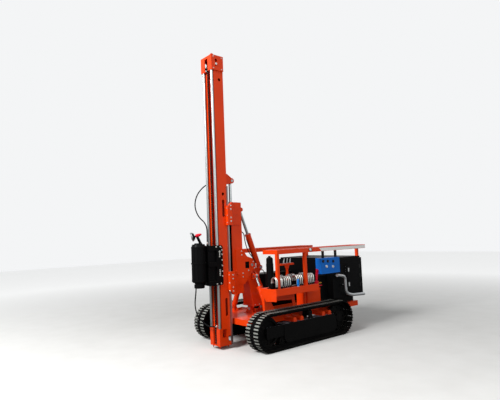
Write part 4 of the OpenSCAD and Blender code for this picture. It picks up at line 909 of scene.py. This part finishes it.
def makeBankFittings(bank):
    gaps = bank["slices"] - 1   # an elbow stands over each joint between two slices
    spots = [(bank["elbowX"], y + (i - (gaps - 1) / 2) * bank["slicePitch"])
             for y in bank["ys"] for i in range(gaps)]
    spots += [(bank["portPlace"][0], y) for y in bank["portYs"]]
    elbows = scattered(makeElbow(bank), [(at(x, y, bank["top"]), up, math.pi) for x, y in spots])
    corners = [(y, side, end) for y in bank["ys"] for side in (-1, 1) for end in (-1, 1)]
    bolts = scattered(makeBolt(boltShape, zincPlate),
                      [(at(bank["x"] + side * bank["boltX"], y + end * bank["boltY"], bank["baseTop"]), up,
                        end * bank["boltRoll"], bank["boltSize"]) for y, side, end in corners])
    strip = block(bank["stripSize"], zincPlate, edge=2)
    stripZ = bank["baseTop"] + bank["stripSize"][2] / 2
    strips = scattered(strip, [(at(bank["stripX"], y, stripZ),) for y in bank["ys"]])
    parts = (elbows, bolts, strips, makePortBlock(bank))
    finished(joined(*parts), "bankFittings", "chassis", smooth=40)


makeBankFittings(bankShape)

# small azure lever on the table's edge, and the brass fitting behind the hand valve
smallLever = {
    "place": (858, 936, 950), "size": (16, 42, 118), "standoff": 6, "widening": 1.25, "lean": 12,
    "fittingPlace": (798, 1500, 955), "fittingAim": (0.25, 0.97, 0),
}


def makeSmallLever(lever):
    grip = block(lever["size"], azureEnamel, mm(0, 0, lever["size"][2] / 2 + lever["standoff"]), 4, 2)
    bpy.ops.object.transform_apply(location=True, rotation=False, scale=False)
    editFaces(lambda c, n: n.z > 0.9)
    bpy.ops.transform.resize(value=(1, lever["widening"], 1))
    bpy.ops.transform.translate(value=mm(0, -lever["lean"], 0))
    leaveEdit()
    foot = turned([(16, 0), (16, 6), (9, 9), (9, 22)], 16, zincPlate)
    both = aimed(joined(grip, foot), at(*lever["place"]))
    fitting = turned([(14, 0), (14, 16), (9, 17), (9, 30), (15, 31), (15, 42), (11, 43), (11, 60)], 6, brass)
    aimed(fitting, at(*lever["fittingPlace"]), lever["fittingAim"])
    finished(joined(both, fitting), "smallLever", "chassis")


makeSmallLever(smallLever)
print("bank fittings made")

# hinges and paddle latches on the engine housing's side doors
doorShape = {
    "x": 702, "hingeY": 2836, "hingeZs": (800, 975, 1150), "latchY": 2462, "latchZs": (840, 1110),
    "leafSize": (4, 50, 70), "leafPlace": (2, -20, 0), "knucklePlace": (6, 8, 0),
    "latchSize": (6, 60, 100), "latchPlace": (3, 0, 0), "rim": 8, "recess": 3,
    "paddleSize": (8, 34, 66), "paddlePlace": (6, 0, -4), "paddleLift": 4,
}


def makeHinge(door):
    leaf = block(door["leafSize"], blackPlastic, mm(*door["leafPlace"]), 1.5)
    knuckle = turned([(6, -38), (7, -37), (7, 37), (6, 38)], 12, blackPlastic)
    knuckle.location = mm(*door["knucklePlace"])
    return joined(leaf, knuckle)


def makeLatch(door):
    # a recessed tray with a paddle whose lower end stands proud
    tray = block(door["latchSize"], blackPlastic, mm(*door["latchPlace"]), 2.5, 2)
    editFaces(lambda c, n: n.x > 0.9)
    bpy.ops.mesh.inset(thickness=door["rim"] / 1000, depth=-door["recess"] / 1000)
    leaveEdit()
    paddle = block(door["paddleSize"], turnedSteel, mm(*door["paddlePlace"]), 3, 2)
    editFaces(lambda c, n: n.z < -0.9)
    bpy.ops.transform.translate(value=mm(door["paddleLift"], 0, 0))
    leaveEdit()
    return joined(tray, paddle)


def makeDoorFittings(door):
    parts = []
    for unit, y, heights in ((makeHinge(door), door["hingeY"], door["hingeZs"]),
                             (makeLatch(door), door["latchY"], door["latchZs"])):
        for side in (-1, 1):
            for z in heights:
                copy = twin(unit)
                copy.location = at(side * door["x"], y, z)
                if side < 0:   # the other side's are a mirror image, so their faces are turned out again
                    copy.scale = (-1, 1, 1)
                    settled(copy)
                    editAll()
                    leaveOutwards()
                parts.append(copy)
        bpy.data.objects.remove(unit)
    finished(joined(*parts), "doorFittings", "chassis", smooth=40)


makeDoorFittings(doorShape)

# sloped blades in the engine housing's side and rear slots
louvreShape = {
    "slope": 40, "deep": 22, "thick": 2, "edge": 0.6, "pitch": 40,
    "sideX": 694, "sideY": 2350, "sideLow": 927, "sideCount": 8, "sideLong": 98,
    "rearY": 2870, "rearLow": 748, "rearCount": 12, "rearLong": 1038,
}


def bladeRow(louvre, size, turn, x, y, low, count):
    # turn: degrees about X and Y
    blade = block(size, blackEnamel, edge=louvre["edge"])
    blade.rotation_euler = (math.radians(turn[0]), math.radians(turn[1]), 0)
    bpy.ops.object.transform_apply(location=False, rotation=True, scale=False)
    return scattered(blade, [(at(x, y, low + louvre["pitch"] * i),) for i in range(count)])


def makeLouvres(louvre):
    deep, thick, slope = louvre["deep"], louvre["thick"], louvre["slope"]
    rows = [bladeRow(louvre, (deep, louvre["sideLong"], thick), (0, side * slope), side * louvre["sideX"],
                     louvre["sideY"], louvre["sideLow"], louvre["sideCount"]) for side in (-1, 1)]
    rows.append(bladeRow(louvre, (louvre["rearLong"], deep, thick), (-slope, 0), 0,
                         louvre["rearY"], louvre["rearLow"], louvre["rearCount"]))
    finished(joined(*rows), "louvreBlades", "chassis", smooth=0)


makeLouvres(louvreShape)
print("door fittings and louvres made")

# floor, backdrop and lamps, in metres
studio = {
    "floorColour": "E9E9E7", "floorShade": "DDDDDA", "floorSize": 60.0,
    "floorGrainMm": 400, "floorRoughness": 0.8, "floorGloss": 0.1,
    "skyColour": "F4F5F6",
    "bounceColour": "8A8A88",   # what the floor throws back at the machine, as a workshop floor would
    "glowNear": 3.5, "glowFar": 13.0, "glow": 0.62,   # no glow nearer, and all of it beyond the second
    "worldStrength": 0.32,
    "keyPlace": (0.8, -9.5, 8.0), "keyWatts": 1450, "keySize": 4.0,
    "fillPlace": (9.0, -2.0, 5.0), "fillWatts": 250, "fillSize": 6.0,
    "lampsAim": (0, 0, 1.2),
}


def paleFloor(room):
    material, tree, shader, spot = newMaterial("paleFloor")
    grain = addNode(tree, "TexNoise", {"Scale": perMetre(room["floorGrainMm"]), "Detail": 6.0},
                    {"Vector": spot["Object"]})
    tone = addNode(tree, "Mix", {"data_type": "RGBA", 6: linear(room["floorColour"]),
                                 7: linear(room["floorShade"])}, {0: grain})
    ray = addNode(tree, "LightPath").outputs
    colour = addNode(tree, "Mix", {"data_type": "RGBA", 6: linear(room["bounceColour"])},
                     {0: ray["Is Camera Ray"], 7: tone.outputs[2]})
    # far off the lamps don't reach, so the floor there glows up to the backdrop's own tone
    away = addNode(tree, "VectorMath", {"operation": "LENGTH"}, {0: spot["Object"]})
    far = addNode(tree, "MapRange",
                  {"From Min": room["glowNear"], "From Max": room["glowFar"], "To Max": room["glow"]},
                  {"Value": away.outputs["Value"]})
    glow = addNode(tree, "Math", {"operation": "MULTIPLY"}, {0: far, 1: ray["Is Camera Ray"]})
    setNode(shader, {"Emission Color": linear(room["skyColour"]), "Roughness": room["floorRoughness"],
                     "Specular IOR Level": room["floorGloss"]},
            {"Base Color": colour.outputs[2], "Emission Strength": glow})
    return material


def makeSky(room):
    # the camera and reflections see the backdrop at full strength, and it lights the machine only softly
    world = bpy.data.worlds.new("studioSky")
    scene.world = world
    world.use_nodes = True
    tree = world.node_tree
    tree.nodes.clear()
    ray = addNode(tree, "LightPath").outputs
    seen = addNode(tree, "Math", {"operation": "MAXIMUM"},
                   {0: ray["Is Camera Ray"], 1: ray["Is Glossy Ray"]})
    strength = addNode(tree, "MapRange", {"To Min": room["worldStrength"], "To Max": 1.0}, {"Value": seen})
    sky = addNode(tree, "Background", {"Color": linear(room["skyColour"])}, {"Strength": strength})
    addNode(tree, "OutputWorld", links={"Surface": sky})


def makeStudio(room):
    deselect()
    bpy.ops.mesh.primitive_plane_add(size=room["floorSize"], location=(0, 0, 0))
    floor = paint(bpy.context.object, paleFloor(room))
    floor.name = "floor"
    makeSky(room)
    for name in ("key", "fill"):
        lamp = bpy.data.lights.new(name + "Lamp", "AREA")
        lamp.energy = room[name + "Watts"]
        lamp.size = room[name + "Size"]
        holder = bpy.data.objects.new(name + "Lamp", lamp)
        holder.location = room[name + "Place"]
        aim = Vector(room["lampsAim"]) - holder.location
        holder.rotation_euler = aim.to_track_quat("-Z", "Y").to_euler()
        scene.collection.objects.link(holder)
    scene.view_settings.view_transform = "Standard"


makeStudio(studio)
print("studio made")
